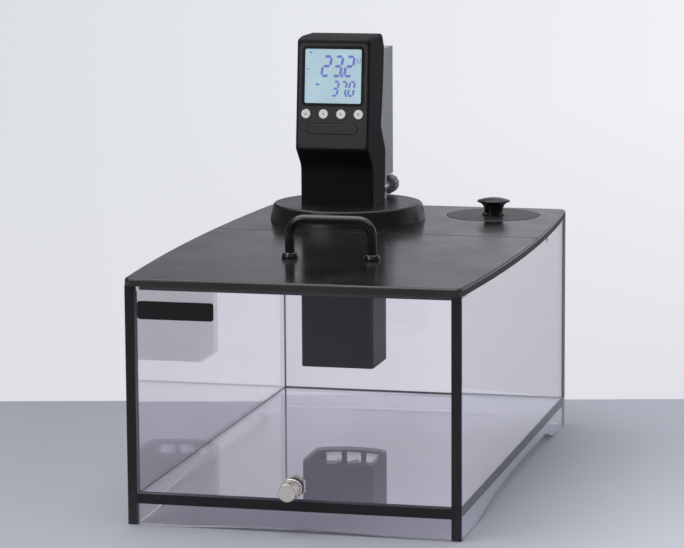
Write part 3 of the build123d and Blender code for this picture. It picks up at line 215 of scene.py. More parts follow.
class SurfaceEffects:
    """The shader node groups that several finishes share."""

    EDGE_GAIN = 5.0
    EDGE_SAMPLES = 4
    WORN_AND_HIGHLIT_PATCHES: Ramp = (0.38, 0.62, 0.25, 1.0)
    FACING_UP: Ramp = (0.3, 1.0, 0.0, 1.0)
    DUST_SPECKS: Ramp = (0.45, 0.75, 0.0, 1.0)

    def __init__(self) -> None:
        """Build the groups once."""
        self.grain = self._grain()
        self.wear_and_highlight = self._wear_and_highlight()
        self.dust = self._dust()

    def _grain(self) -> NodeTree:
        """A stretched fine noise and a cloudy one, for colour, roughness and height.

        Returns:
            The group's tree.
        """
        inputs = {
            "Scale": ("NodeSocketFloat", 900.0),
            "Stretch": ("NodeSocketVector", (1.0, 1.0, 1.0)),
            "Cloud Scale": ("NodeSocketFloat", 18.0),
        }
        outputs = {"Grain": "NodeSocketFloat", "Cloud": "NodeSocketFloat"}
        tree, wiring, given, result = new_group("Fine grain", "ShaderNodeTree", inputs, outputs)
        place = wiring.place()
        mapping = wiring.add("ShaderNodeMapping", {"Vector": place, "Scale": given.outputs["Stretch"]})
        grain = wiring.noise(mapping.outputs["Vector"], given.outputs["Scale"], detail=4.0)
        cloud = wiring.noise(place, given.outputs["Cloud Scale"], detail=5.0)
        wiring.feed(grain, result.inputs["Grain"])
        wiring.feed(cloud, result.inputs["Cloud"])
        return tree

    def _wear_and_highlight(self) -> NodeTree:
        """Rubbed edges and painted edge highlights: a mask along sharp edges and the normal of a slightly
        rounded edge.

        Returns:
            The group's tree.
        """
        inputs = {
            "Radius": ("NodeSocketFloat", 0.0006),
            "Amount": ("NodeSocketFloat", 0.5),
            "Patch Scale": ("NodeSocketFloat", 160.0),
        }
        outputs = {"Mask": "NodeSocketFloat", "Rounded": "NodeSocketVector"}
        tree, wiring, given, result = new_group("Edge wear", "ShaderNodeTree", inputs, outputs)
        radius = given.outputs["Radius"]
        bevel = wiring.add("ShaderNodeBevel", {"Radius": radius}, samples=self.EDGE_SAMPLES)
        rounded = bevel.outputs["Normal"]
        true_normal = wiring.add("ShaderNodeNewGeometry").outputs["True Normal"]
        turned = wiring.times(wiring.rest(wiring.dot(rounded, true_normal)), self.EDGE_GAIN, clamp=True)
        patches = wiring.noise(wiring.place(), given.outputs["Patch Scale"])
        patched = wiring.spread(patches, *self.WORN_AND_HIGHLIT_PATCHES)
        mask = wiring.times(wiring.times(turned, patched), given.outputs["Amount"])
        wiring.feed(mask, result.inputs["Mask"])
        wiring.feed(rounded, result.inputs["Rounded"])
        return tree

    def _dust(self) -> NodeTree:
        """A faint film on faces that look up.

        Returns:
            The group's tree.
        """
        inputs = {"Amount": ("NodeSocketFloat", 0.1), "Scale": ("NodeSocketFloat", 420.0)}
        outputs = {"Mask": "NodeSocketFloat"}
        tree, wiring, given, result = new_group("Dust", "ShaderNodeTree", inputs, outputs)
        upward = wiring.part(wiring.add("ShaderNodeNewGeometry").outputs["Normal"], "Z")
        specks = wiring.noise(wiring.place(), given.outputs["Scale"], detail=6.0)
        lying = wiring.spread(upward, *self.FACING_UP)
        shown = wiring.spread(specks, *self.DUST_SPECKS)
        mask = wiring.times(wiring.times(lying, shown), given.outputs["Amount"])
        wiring.feed(mask, result.inputs["Mask"])
        return tree


def new_material(name: str) -> tuple[Material, Wiring, Node, Node]:
    """Start a node material.

    Args:
        name: the material's name.

    Returns:
        The material, its wiring, its Principled BSDF and its output node.
    """
    material = bpy.data.materials.new(name)
    material.use_nodes = True
    material.node_tree.nodes.clear()
    wiring = Wiring(material.node_tree)
    shader = wiring.add("ShaderNodeBsdfPrincipled")
    output = wiring.add("ShaderNodeOutputMaterial", {"Surface": shader.outputs[0]})
    return material, wiring, shader, output


def pass_light(wiring: Wiring, shader: Node, output: Node, tint: Source = (1.0, 1.0, 1.0, 1.0)) -> None:
    """Let the light that falls through a clear material reach what lies behind it.

    Args:
        wiring: the material's wiring.
        shader: its Principled BSDF.
        output: its output node.
        tint: the colour of the light that passes.
    """
    clear = wiring.add("ShaderNodeBsdfTransparent", {"Color": tint})
    path = wiring.add("ShaderNodeLightPath").outputs
    lit = wiring.math("MAXIMUM", path["Is Shadow Ray"], path["Is Diffuse Ray"])
    chosen = wiring.add("ShaderNodeMixShader", {0: lit, 1: shader.outputs[0], 2: clear.outputs[0]})
    wiring.feed(chosen.outputs[0], output.inputs["Surface"])


@dataclass(frozen=True)
class SolidFinish:
    """An opaque finish with grain, cloudy variation, rubbed edges with painted edge highlights, a film of
    dust and, where given, a painted reflection on upright faces.
    """

    name: str
    colour: Colour
    roughness: float = 0.45
    metallic: float = 0.0
    variation: float = 0.12
    grain_scale: float = 900.0
    stretch: tuple[float, float, float] = (1.0, 1.0, 1.0)
    grain_depth: float = 0.03
    grain_strength: float = 0.6
    roughness_swing: float = 0.06
    least_roughness: float = 0.02
    noise_ends: tuple[float, float] = (0.35, 0.65)
    wear_and_highlight: float = 0.25
    wear_and_highlight_colour: Colour = linear(120, 120, 126)
    wear_and_highlight_radius: float = 0.0006
    dust: float = 0.04
    dust_colour: Colour = linear(176, 174, 170)
    dust_roughness: float = 0.5
    coat: float = 0.0
    coat_roughness: float = 0.12
    painted_reflection_colour: Colour | None = None
    painted_reflection_faces: Ramp = (0.35, 0.8, 1.0, 0.0)
    specular: float = 0.5
    seam: float | None = None
    seam_half: float = 1.5 * MM

    def build(self, effects: SurfaceEffects) -> Material:
        """Make the material.

        Args:
            effects: the shared node groups.

        Returns:
            The new material.
        """
        material, wiring, shader, _ = new_material(self.name)
        grain = wiring.group(effects.grain, {"Scale": self.grain_scale, "Stretch": self.stretch})
        wear_and_highlight = wiring.group(effects.wear_and_highlight, {"Radius": self.wear_and_highlight_radius, "Amount": self.wear_and_highlight})
        dust = wiring.group(effects.dust, {"Amount": self.dust}).outputs["Mask"]
        mixed = wiring.times(wiring.math("ADD", grain.outputs["Grain"], grain.outputs["Cloud"]), 0.5)
        factor = wiring.spread(mixed, *self.noise_ends, 1.0 - self.variation, 1.0 + self.variation)
        scaled = wiring.scale(self.base(wiring), factor)
        # Edges take the mask's colour: partly rubbed wear, partly a painted highlight along the edges.
        worn_and_highlit = wiring.blend(wear_and_highlight.outputs["Mask"], scaled, self.wear_and_highlight_colour)
        bump = wiring.add("ShaderNodeBump", {
            "Strength": self.grain_strength,
            "Distance": self.grain_depth * MM,
            "Height": grain.outputs["Grain"],
            "Normal": wear_and_highlight.outputs["Rounded"],
        })
        inputs = {
            "Base Color": wiring.blend(dust, worn_and_highlit, self.dust_colour),
            "Roughness": self.dullness(wiring, mixed, dust),
            "Normal": bump.outputs["Normal"],
            "Metallic": self.metallic,
            "Coat Weight": self.coat,
            "Coat Roughness": self.coat_roughness,
            "Specular IOR Level": self.specular,
        }
        for name, value in inputs.items():
            wiring.feed(value, shader.inputs[name])
        return material

    def base(self, wiring: Wiring) -> Source:
        """The colour before grain, edge wear and highlight, and dust, with a painted reflection on upright
        faces where one is given.

        Args:
            wiring: the material's wiring.

        Returns:
            The colour or its socket.
        """
        if self.painted_reflection_colour is None:
            return self.colour
        # Upright faces get their own lighter colour here: a painted reflection.
        upward = wiring.part(wiring.add("ShaderNodeNewGeometry").outputs["Normal"], "Z")
        upright = wiring.spread(wiring.math("ABSOLUTE", upward), *self.painted_reflection_faces)
        return wiring.blend(upright, self.colour, self.painted_reflection_colour)

    def dullness(self, wiring: Wiring, mixed: NodeSocket, dust: NodeSocket) -> NodeSocket:
        """The roughness, with the noise, the dust and the dull line that gathers along a seam.

        Args:
            wiring: the material's wiring.
            mixed: the mixed noise.
            dust: the mask of the dust.

        Returns:
            The roughness at each point.
        """
        low = max(self.roughness - self.roughness_swing, self.least_roughness)
        rough = wiring.spread(mixed, *self.noise_ends, low, self.roughness + self.roughness_swing)
        hazed = wiring.math("ADD", rough, wiring.times(dust, self.dust_roughness), clamp=True)
        if self.seam is None:
            return hazed
        away = wiring.math("ABSOLUTE", wiring.math("SUBTRACT", wiring.part(wiring.place(), "Y"), self.seam))
        grime = wiring.spread(away, self.seam_half * 0.5, self.seam_half, 1.0, 0.0)
        return wiring.math("MAXIMUM", hazed, grime)


@dataclass(frozen=True)
class SmokedSheet:
    """A clear smoked sheet whose sawn edges look nearly black, and whose rear ends may be painted lighter
    as painted backlight.
    """

    name: str
    tint: Colour = (0.93, 0.905, 0.95, 1.0)
    end_x: Colour = (0.004, 0.004, 0.006, 1.0)
    end_y: Colour = (0.004, 0.004, 0.006, 1.0)
    end_z: Colour = (0.09, 0.09, 0.11, 1.0)
    painted_backlit_end: Colour | None = None
    faces_axis: str = "X"
    haze: float = 0.012
    haze_ends: tuple[float, float] = (0.4, 0.75)
    sawn: float = 0.5
    sawn_from: float = 0.5
    refraction: float = 1.49
    grain_scale: float = 60.0
    clouding: Ramp = (0.3, 0.7, 0.985, 1.0)
    # Light crosses two faces, so each takes the square root of the tint.
    share_of_face: float = 0.5

    def build(self, effects: SurfaceEffects) -> Material:
        """Make the material.

        Args:
            effects: the shared node groups.

        Returns:
            The new material.
        """
        material, wiring, shader, output = new_material(self.name)
        normal = wiring.add("ShaderNodeNewGeometry").outputs["True Normal"]
        parts = wiring.add("ShaderNodeSeparateXYZ", {"Vector": normal}).outputs
        end_y = self.end_y
        # Where given, the ends toward the rear take a lighter colour: painted light from the bright room
        # behind.
        if self.painted_backlit_end is not None:
            rear = wiring.math("GREATER_THAN", wiring.part(wiring.place(), "Y"), 0.0)
            end_y = wiring.blend(rear, self.end_y, self.painted_backlit_end)
        colour = self.tint
        sawn = 0.0
        for axis, end in (("X", self.end_x), ("Y", end_y), ("Z", self.end_z)):
            if axis == self.faces_axis:
                continue
            across = wiring.math("GREATER_THAN", wiring.math("ABSOLUTE", parts[axis]), self.sawn_from)
            colour = wiring.blend(across, colour, end)
            sawn = wiring.math("MAXIMUM", sawn, across)
        grain = wiring.group(effects.grain, {"Scale": self.grain_scale})
        toned = wiring.scale(colour, wiring.spread(grain.outputs["Cloud"], *self.clouding))
        wiring.feed(toned, shader.inputs["Base Color"])
        smooth = wiring.spread(grain.outputs["Grain"], *self.haze_ends, 0.0, self.haze)
        rough = wiring.math("MAXIMUM", smooth, wiring.times(sawn, self.sawn))
        wiring.feed(rough, shader.inputs["Roughness"])
        shader.inputs["IOR"].default_value = self.refraction
        shader.inputs["Transmission Weight"].default_value = 1.0
        passing = wiring.add("ShaderNodeGamma", {"Color": toned, "Gamma": self.share_of_face})
        pass_light(wiring, shader, output, passing.outputs[0])
        return material


@dataclass(frozen=True)
class ClearWindow:
    """The clear window over the display."""

    name: str = "window"
    tint: Colour = (0.97, 0.98, 0.99, 1.0)
    smears: Ramp = (0.4, 0.75, 0.0, 0.05)

    def build(self, effects: SurfaceEffects) -> Material:
        """Make the material.

        Args:
            effects: the shared node groups.

        Returns:
            The new material.
        """
        material, wiring, shader, output = new_material(self.name)
        cloud = wiring.group(effects.grain).outputs["Cloud"]
        wiring.feed(wiring.spread(cloud, *self.smears), shader.inputs["Roughness"])
        shader.inputs["Base Color"].default_value = self.tint
        shader.inputs["Transmission Weight"].default_value = 1.0
        pass_light(wiring, shader, output)
        return material


@dataclass(frozen=True)
class LitLayer:
    """A layer of the display that glows evenly: the pale ground or a dark segment."""

    name: str
    colour: Colour
    glow: float = 0.86
    unlit: float = 0.12
    roughness: float = 0.6
    cell: float = 2600.0
    cloud_scale: float = 30.0
    clouding: Ramp = (0.3, 0.7, 0.95, 1.05)

    def build(self, effects: SurfaceEffects) -> Material:
        """Make the material.

        Args:
            effects: the shared node groups.

        Returns:
            The new material.
        """
        material, wiring, shader, _ = new_material(self.name)
        grain = wiring.group(effects.grain, {"Scale": self.cell, "Cloud Scale": self.cloud_scale})
        tone = wiring.scale(self.colour, wiring.spread(grain.outputs["Cloud"], *self.clouding))
        wiring.feed(wiring.scale(tone, self.unlit), shader.inputs["Base Color"])
        wiring.feed(tone, shader.inputs["Emission Color"])
        shader.inputs["Emission Strength"].default_value = self.glow
        shader.inputs["Roughness"].default_value = self.roughness
        return material


class Finishes:
    """Every finish of the object, built once."""

    def __init__(self) -> None:
        """Build the groups and the materials."""
        effects = SurfaceEffects()
        lid_streaks = (3.0, 120.0, 40.0)
        seam = (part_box("front_lid")[1][1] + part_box("bridge_plate")[0][1]) / 2
        brushed = (40.0, 40.0, 900.0)
        finishes = (
            # The side sheets' rear ends are painted light grey: painted backlight.
            SmokedSheet("side sheet", (0.985, 0.965, 0.995, 1.0), faces_axis="X",
                        end_y=(0.003, 0.003, 0.005, 1.0), painted_backlit_end=(0.45, 0.43, 0.5, 1.0)),
            SmokedSheet("front sheet", faces_axis="Y", end_x=(0.5, 0.48, 0.54, 1.0)),
            SmokedSheet("rear sheet", faces_axis="Y", end_x=(0.6, 0.58, 0.64, 1.0)),
            SmokedSheet("floor sheet", faces_axis="Z", end_x=(0.1, 0.1, 0.12, 1.0)),
            SmokedSheet("apron sheet", faces_axis="Y", end_x=(0.4, 0.4, 0.45, 1.0)),
            ClearWindow(),
            # The lid's upright edges get a lighter warm grey: a painted reflection.
            SolidFinish("lid black", linear(22, 21, 23), 0.18, variation=0.1, grain_scale=7.0,
                        stretch=lid_streaks, grain_depth=0.012, wear_and_highlight=0.2, wear_and_highlight_radius=0.0008,
                        painted_reflection_colour=linear(52, 50, 48), seam=seam),
            SolidFinish("cover black", linear(30, 29, 31), 0.34, variation=0.1, grain_scale=9.0,
                        stretch=lid_streaks, grain_depth=0.012, wear_and_highlight=0.1, wear_and_highlight_radius=0.0005),
            SolidFinish("handle black", linear(22, 22, 24), 0.26, coat=0.4, grain_scale=500.0, wear_and_highlight=0.15),
            SolidFinish("knob black", linear(7, 7, 8), 0.2, coat=0.4, grain_scale=500.0, wear_and_highlight=0.15),
            SolidFinish("flange black", linear(24, 25, 27), 0.28, grain_scale=1400.0, wear_and_highlight=0.2),
            SolidFinish("column black", linear(26, 26, 29), 0.55, grain_scale=1600.0, grain_depth=0.05,
                        wear_and_highlight=0.3, specular=0.35),
            # The shell's strong, wide edge mask paints highlights along its edges as well as wear.
            SolidFinish("shell black", linear(15, 16, 17), 0.62, grain_scale=1500.0, grain_depth=0.05,
                        wear_and_highlight=0.5, wear_and_highlight_radius=0.0012, specular=0.25),
            SolidFinish("bezel black", linear(59, 57, 56), 0.42, grain_scale=1300.0, wear_and_highlight_radius=0.0004),
            # The pill's lighter outline is a painted edge highlight as well as wear.
            SolidFinish("pill black", linear(60, 58, 57), 0.4, grain_scale=1300.0, wear_and_highlight=0.15,
                        wear_and_highlight_colour=linear(96, 94, 92)),
            SolidFinish("housing grey", linear(176, 176, 182), 0.4, metallic=0.1, grain_scale=1700.0,
                        grain_depth=0.04, wear_and_highlight=0.2, wear_and_highlight_colour=linear(200, 200, 204)),
            SolidFinish("plate black", linear(12, 12, 13), 0.3, coat=0.2, wear_and_highlight=0.2, wear_and_highlight_radius=0.0003),
            SolidFinish("key silver", linear(248, 248, 243), 0.3, metallic=0.05, grain_scale=1200.0,
                        variation=0.08, wear_and_highlight=0.3, wear_and_highlight_colour=linear(240, 240, 236), wear_and_highlight_radius=0.0005),
            SolidFinish("steel", linear(190, 190, 192), 0.28, metallic=1.0, grain_scale=90.0,
                        stretch=brushed, variation=0.08, wear_and_highlight=0.2, wear_and_highlight_colour=linear(225, 225, 228)),
            SolidFinish("nickel", linear(226, 219, 208), 0.26, metallic=0.7, grain_scale=420.0,
                        variation=0.07, wear_and_highlight=0.3, wear_and_highlight_colour=linear(244, 240, 232)),
            SolidFinish("rubber", linear(26, 26, 27), 0.7, grain_scale=1300.0, grain_depth=0.06, wear_and_highlight=0.1),
            SolidFinish("seal grey", linear(104, 102, 110), 0.6, grain_scale=1300.0, grain_depth=0.05,
                        wear_and_highlight=0.1),
            SolidFinish("pump plastic", linear(60, 62, 66), 0.5, grain_scale=1200.0, wear_and_highlight=0.2),
            SolidFinish("board green", linear(38, 84, 58), 0.45, grain_scale=260.0, variation=0.25,
                        wear_and_highlight=0.2, wear_and_highlight_colour=linear(180, 150, 90)),
            SolidFinish("contact metal", linear(206, 186, 140), 0.25, metallic=1.0, grain_scale=600.0,
                        wear_and_highlight=0.2, wear_and_highlight_colour=linear(232, 214, 170)),
            SolidFinish("display frame", linear(24, 24, 26), 0.5, wear_and_highlight=0.1),
            SolidFinish("screen border", linear(26, 26, 27), 0.3, wear_and_highlight=0.1, dust=0.0),
            SolidFinish("cap grey", linear(112, 112, 118), 0.34, wear_and_highlight=0.4,
                        wear_and_highlight_colour=linear(190, 190, 194)),
            # This dark mark serves as print on the keys and as painted shade for the screw crosses.
            SolidFinish("dark print and slot shade", linear(140, 141, 140), 0.5, wear_and_highlight=0.0, dust=0.0),
            SolidFinish("mark white", linear(220, 220, 218), 0.5, wear_and_highlight=0.0, dust=0.0),
            SolidFinish("weld line", linear(92, 90, 104), 0.25, coat=0.4, grain_scale=400.0, wear_and_highlight=0.0,
                        dust=0.0),
            LitLayer("display ground", linear(180, 209, 220)),
            LitLayer("display segment", linear(104, 118, 200)),
        )
        self._made = {finish.name: finish.build(effects) for finish in finishes}
        LOG.info("built %d finishes", len(self._made))

    def __getitem__(self, name: str) -> Material:
        """The material of that name."""
        return self._made[name]

    def dress(self, nodes: dict[str, str]) -> None:
        """Give CAD nodes their finishes.

        Args:
            nodes: the finish's name by the node's name.
        """
        for node, name in nodes.items():
            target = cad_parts[node]
            target.data.materials.clear()
            target.data.materials.append(self[name])
            LOG.info("%s: %s", node, name)


def place_piece(name: str, mesh: Mesh, material: Material, body: Body) -> None:
    """Link a finished mesh as a piece that rides on a body.

    Args:
        name: the piece's name.
        mesh: the mesh, already in its place.
        material: its finish.
        body: the body it moves with.
    """
    piece = bpy.data.objects.new(name, mesh)
    mesh.materials.clear()
    mesh.materials.append(material)
    bpy.context.scene.collection.objects.link(piece)
    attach(piece, body.value)
    LOG.info("%s: %d faces on %s", name, len(mesh.polygons), body.value)


def prism(outline: Outline, low: float, high: float) -> BMesh:
    """Raise a flat outline between two heights.

    Args:
        outline: the corners, counter-clockwise, in metres.
        low: the lower height.
        high: the upper height.

    Returns:
        The closed solid.
    """
    solid = bmesh.new()
    lower = [solid.verts.new((x, y, low)) for x, y in outline]
    upper = [solid.verts.new((x, y, high)) for x, y in outline]
    count = len(outline)
    solid.faces.new(list(reversed(lower)))
    solid.faces.new(upper)
    for index in range(count):
        after = (index + 1) % count
        solid.faces.new((lower[index], lower[after], upper[after], upper[index]))
    return solid


def rounded_outline(width: float, height: float, radius: float, steps: int = 6) -> Outline:
    """The corners of a rounded rectangle about the origin.

    Args:
        width: its width.
        height: its height.
        radius: its corner radius.
        steps: the pieces of each corner's arc.

    Returns:
        The corners, counter-clockwise.
    """
    corners = []
    centres = ((1, 1, 0), (-1, 1, 90), (-1, -1, 180), (1, -1, 270))
    for side_x, side_y, start in centres:
        for step in range(steps + 1):
            angle = math.radians(start + 90 * step / steps)
            x = side_x * (width / 2 - radius) + radius * math.cos(angle)
            y = side_y * (height / 2 - radius) + radius * math.sin(angle)
            corners.append((x, y))
    return corners


def circle_outline(radius: float, count: int = 32) -> Outline:
    """The corners of a circle about the origin, counter-clockwise."""
    turns = [2 * math.pi * index / count for index in range(count)]
    return [(radius * math.cos(turn), radius * math.sin(turn)) for turn in turns]


def flat_frame(outer: Outline, inner: Outline, low: float, high: float) -> BMesh:
    """Raise the space between two outlines of as many corners.

    Args:
        outer: the outer outline.
        inner: the inner outline.
        low: the lower height.
        high: the upper height.

    Returns:
        The closed solid.
    """
    solid = bmesh.new()
    rows = []
    for outline, height in ((inner, low), (outer, low), (outer, high), (inner, high)):
        rows.append([solid.verts.new((x, y, height)) for x, y in outline])
    count = len(outer)
    for layer, lower in enumerate(rows):
        upper = rows[(layer + 1) % len(rows)]
        for index in range(count):
            after = (index + 1) % count
            solid.faces.new((lower[index], lower[after], upper[after], upper[index]))
    return solid


def dome(sides: int, rings: int, cut: float, flatness: float) -> BMesh:
    """A ball of radius 1 whose underside is pressed flat, made lower.

    Args:
        sides: the corners of each ring.
        rings: the steps from the top to the bottom.
        cut: the height of the flat underside on the ball.
        flatness: the factor on every height.

    Returns:
        The closed solid.
    """
    solid = bmesh.new()
    rows = []
    for ring in range(1, rings):
        slope = math.pi * ring / rings
        height = max(math.cos(slope), cut) * flatness
        rows.append([solid.verts.new((x, y, height)) for x, y in circle_outline(math.sin(slope), sides)])
    top = solid.verts.new((0.0, 0.0, flatness))
    bottom = solid.verts.new((0.0, 0.0, cut * flatness))
    for index in range(sides):
        after = (index + 1) % sides
        solid.faces.new((rows[0][index], rows[0][after], top))
        solid.faces.new((rows[-1][after], rows[-1][index], bottom))
        for upper, lower in zip(rows, rows[1:]):
            solid.faces.new((lower[after], upper[after], upper[index], lower[index]))
    return solid


def finish_mesh(name: str, solids: list[BMesh], place: Matrix) -> Mesh:
    """Join solids into one mesh and put it in its place.

    Args:
        name: the mesh's name.
        solids: the solids, which are used up.
        place: the transform into the row frame.

    Returns:
        The mesh.
    """
    joined = bmesh.new()
    for solid in solids:
        part = bpy.data.meshes.new(name)
        solid.to_mesh(part)
        solid.free()
        joined.from_mesh(part)
        bpy.data.meshes.remove(part)
    joined.transform(place)
    bmesh.ops.recalc_face_normals(joined, faces=joined.faces)
    mesh = bpy.data.meshes.new(name)
    joined.to_mesh(mesh)
    joined.free()
    return mesh


def start_tree(name: str, inputs: dict[str, tuple[str, object]]) -> tuple[NodeTree, Wiring, Node, Node]:
    """Start a Geometry Nodes tree; see new_group for its inputs and for what it returns."""
    return new_group(name, "GeometryNodeTree", inputs, {"Result": "NodeSocketGeometry"})


def end_tree(wiring: Wiring, grown: Node, given: Node, result: Node) -> None:
    """End a Geometry Nodes tree with real, painted geometry.

    Args:
        wiring: the tree's wiring.
        grown: the node whose first output is the geometry.
        given: the tree's input node.
        result: the tree's output node.
    """
    real = wiring.add("GeometryNodeRealizeInstances", {"Geometry": grown.outputs[0]})
    sockets = {"Geometry": real.outputs[0], "Material": given.outputs["Finish"]}
    painted = wiring.add("GeometryNodeSetMaterial", sockets)
    wiring.feed(painted.outputs[0], result.inputs[0])


class CopyTree:
    """Geometry Nodes that put a turned and sized copy of a template on every point."""

    def __init__(self) -> None:
        """Build the tree once."""
        inputs = {
            "Points": ("NodeSocketGeometry", None),
            "Template": ("NodeSocketObject", None),
            "Size": ("NodeSocketFloat", 1.0),
            "Finish": ("NodeSocketMaterial", None),
        }
        self.tree, wiring, given, result = start_tree("Copies on points", inputs)
        template = wiring.add("GeometryNodeObjectInfo", {"Object": given.outputs["Template"]})
        turn = wiring.add("GeometryNodeInputNamedAttribute", {"Name": "turn"}, data_type="FLOAT_VECTOR")
        grow = wiring.add("GeometryNodeInputNamedAttribute", {"Name": "grow"}, data_type="FLOAT_VECTOR")
        copies = wiring.add("GeometryNodeInstanceOnPoints", {
            "Points": given.outputs["Points"],
            "Instance": template.outputs["Geometry"],
            "Rotation": turn.outputs[0],
            "Scale": wiring.scale(grow.outputs[0], given.outputs["Size"]),
        })
        end_tree(wiring, copies, given, result)

    def make(self, name: str, template: Mesh, points: Copies, material: Material, size: float) -> Mesh:
        """Copy a template to points and keep the result as a plain mesh.

        Args:
            name: the mesh's name.
            template: the mesh to copy, which is used up.
            points: place, turn and growth of each copy.
            material: the finish of the copies.
            size: a common factor on the growth.

        Returns:
            The plain mesh.
        """
        cloud = bpy.data.meshes.new(name + "_points")
        cloud.from_pydata([place for place, _, _ in points], [], [])
        for label, column in (("turn", 1), ("grow", 2)):
            layer = cloud.attributes.new(label, "FLOAT_VECTOR", "POINT")
            for index, point in enumerate(points):
                layer.data[index].vector = point[column]
        sample = bpy.data.objects.new(name + "_template", template)
        bpy.context.scene.collection.objects.link(sample)
        mesh = grow_mesh(name, cloud, self.tree, {"Template": sample, "Size": size, "Finish": material})
        bpy.data.objects.remove(sample)
        return mesh


class BeadTree:
    """Geometry Nodes that lay a round bead along the edges of a wire mesh."""

    SIDES = 12

    def __init__(self) -> None:
        """Build the tree once."""
        inputs = {
            "Path": ("NodeSocketGeometry", None),
            "Radius": ("NodeSocketFloat", 1.0 * MM),
            "Sides": ("NodeSocketInt", self.SIDES),
            "Finish": ("NodeSocketMaterial", None),
        }
        self.tree, wiring, given, result = start_tree("Bead along a path", inputs)
        curve = wiring.add("GeometryNodeMeshToCurve", {"Mesh": given.outputs["Path"]})
        circle = wiring.add("GeometryNodeCurvePrimitiveCircle", {
            "Resolution": given.outputs["Sides"],
            "Radius": given.outputs["Radius"],
        })
        tube = wiring.add("GeometryNodeCurveToMesh", {
            "Curve": curve.outputs[0],
            "Profile Curve": circle.outputs["Curve"],
            "Fill Caps": True,
        })
        end_tree(wiring, tube, given, result)

    def make(self, name: str, runs: list[tuple[Vector, Vector]], radius: float, material: Material) -> Mesh:
        """Lay beads along straight runs.

        Args:
            name: the mesh's name.
            runs: the two ends of each run.
            radius: the bead's radius.
            material: the bead's finish.

        Returns:
            The plain mesh.
        """
        corners = [end for run in runs for end in run]
        edges = [(2 * index, 2 * index + 1) for index in range(len(runs))]
        wire = bpy.data.meshes.new(name + "_wire")
        wire.from_pydata(corners, edges, [])
        values = {"Radius": radius, "Sides": self.SIDES, "Finish": material}
        return grow_mesh(name, wire, self.tree, values)


def grow_mesh(name: str, seed: Mesh, tree: NodeTree, values: dict[str, object]) -> Mesh:
    """Run a Geometry Nodes tree on a mesh and keep its result as a plain mesh.

    Args:
        name: the new mesh's name.
        seed: the points or the wire that the tree starts from.
        tree: the tree.
        values: the value of each named input.

    Returns:
        The plain mesh.
    """
    host = bpy.data.objects.new(name + "_host", seed)
    bpy.context.scene.collection.objects.link(host)
    modifier = host.modifiers.new("growth", "NODES")
    modifier.node_group = tree
    for item in tree.interface.items_tree:
        if item.item_type == "SOCKET" and item.in_out == "INPUT" and item.name in values:
            modifier[item.identifier] = values[item.name]
    host.update_tag()
    bpy.context.view_layer.update()
    graph = bpy.context.evaluated_depsgraph_get()
    mesh = bpy.data.meshes.new_from_object(host.evaluated_get(graph), depsgraph=graph)
    mesh.name = name
    host.modifiers.remove(modifier)
    bpy.data.objects.remove(host)
    return mesh


@dataclass
class Tank:
    """The clear tank with its name plate and drain fitting."""

    finishes: Finishes
    beads: BeadTree
    inner_half: float = 158 * MM
    front: float = -266.9 * MM
    rear: float = 285.1 * MM
    floor: float = 31.4 * MM
    rim: float = 238.2 * MM
    bead_radius: float = 0.55 * MM
    bead_sunk: float = 0.6
    bead_end: float = 6 * MM

    def build(self) -> None:
        """Dress the sheets and fittings and lay the weld lines."""
        self.finishes.dress({
            "left_side_panel": "side sheet",
            "right_side_panel": "side sheet",
            "front_panel": "front sheet",
            "rear_panel": "rear sheet",
            "bottom_panel": "floor sheet",
            "front_apron": "apron sheet",
            "rear_apron": "apron sheet",
            "name_plate": "plate black",
            "drain_bushing": "nickel",
            "drain_gaskets": "seal grey",
            "drain_nut": "nickel",
            "drain_plug": "nickel",
            "plug_seal": "seal grey",
        })
        self.weld_lines()

    def weld_lines(self) -> None:
        """Lay a thin bead in each inner corner of the tank."""
        inset = self.bead_radius * self.bead_sunk
        x = self.inner_half - inset
        front = self.front + inset
        rear = self.rear - inset
        low = self.floor + inset
        high = self.rim - self.bead_end
        corners = [(-x, front), (x, front), (x, rear), (-x, rear)]
        runs = []
        for index, (start_x, start_y) in enumerate(corners):
            end_x, end_y = corners[(index + 1) % len(corners)]
            start = Vector((start_x, start_y, low))
            runs.append((start, Vector((end_x, end_y, low))))
            runs.append((start, Vector((start_x, start_y, high))))
        finish = self.finishes["weld line"]
        mesh = self.beads.make("weld_lines", runs, self.bead_radius, finish)
        place_piece("weld_lines", mesh, finish, Body.TANK)


@dataclass
class TopPlates:
    """The front lid, the bridge plate and the fill port's cover."""

    finishes: Finishes

    def build(self) -> None:
        """Dress the plates, the bar handle and the cover."""
        self.finishes.dress({
            "front_lid": "lid black",
            "bridge_plate": "lid black",
            "port_cover": "cover black",
            "handle_bar": "handle black",
            "handle_collars": "handle black",
            "handle_screws": "steel",
            "bridge_screws": "handle black",
            "cover_knob": "knob black",
            "knob_screw": "steel",
        })


@dataclass(frozen=True)
class FrontPanel:
    """The leaning plane of the circulator's front panel."""

    origin: Vector = field(default_factory=lambda: Vector((-59.7 * MM, 121.1 * MM, 327.9 * MM)))
    lean: float = math.radians(6.0)

    def place(self, u: float, v: float, depth: float) -> Matrix:
        """The transform from panel coordinates to the row frame.

        Args:
            u: how far right on the panel.
            v: how far up on the panel.
            depth: how far out of the panel.

        Returns:
            The transform.
        """
        right = Vector((1.0, 0.0, 0.0))
        up = Vector((0.0, math.sin(self.lean), math.cos(self.lean)))
        out = right.cross(up)
        spot = self.origin + right * u + up * v + out * depth
        turned = Matrix((right, up, out)).transposed().to_4x4()
        return Matrix.Translation(spot) @ turned


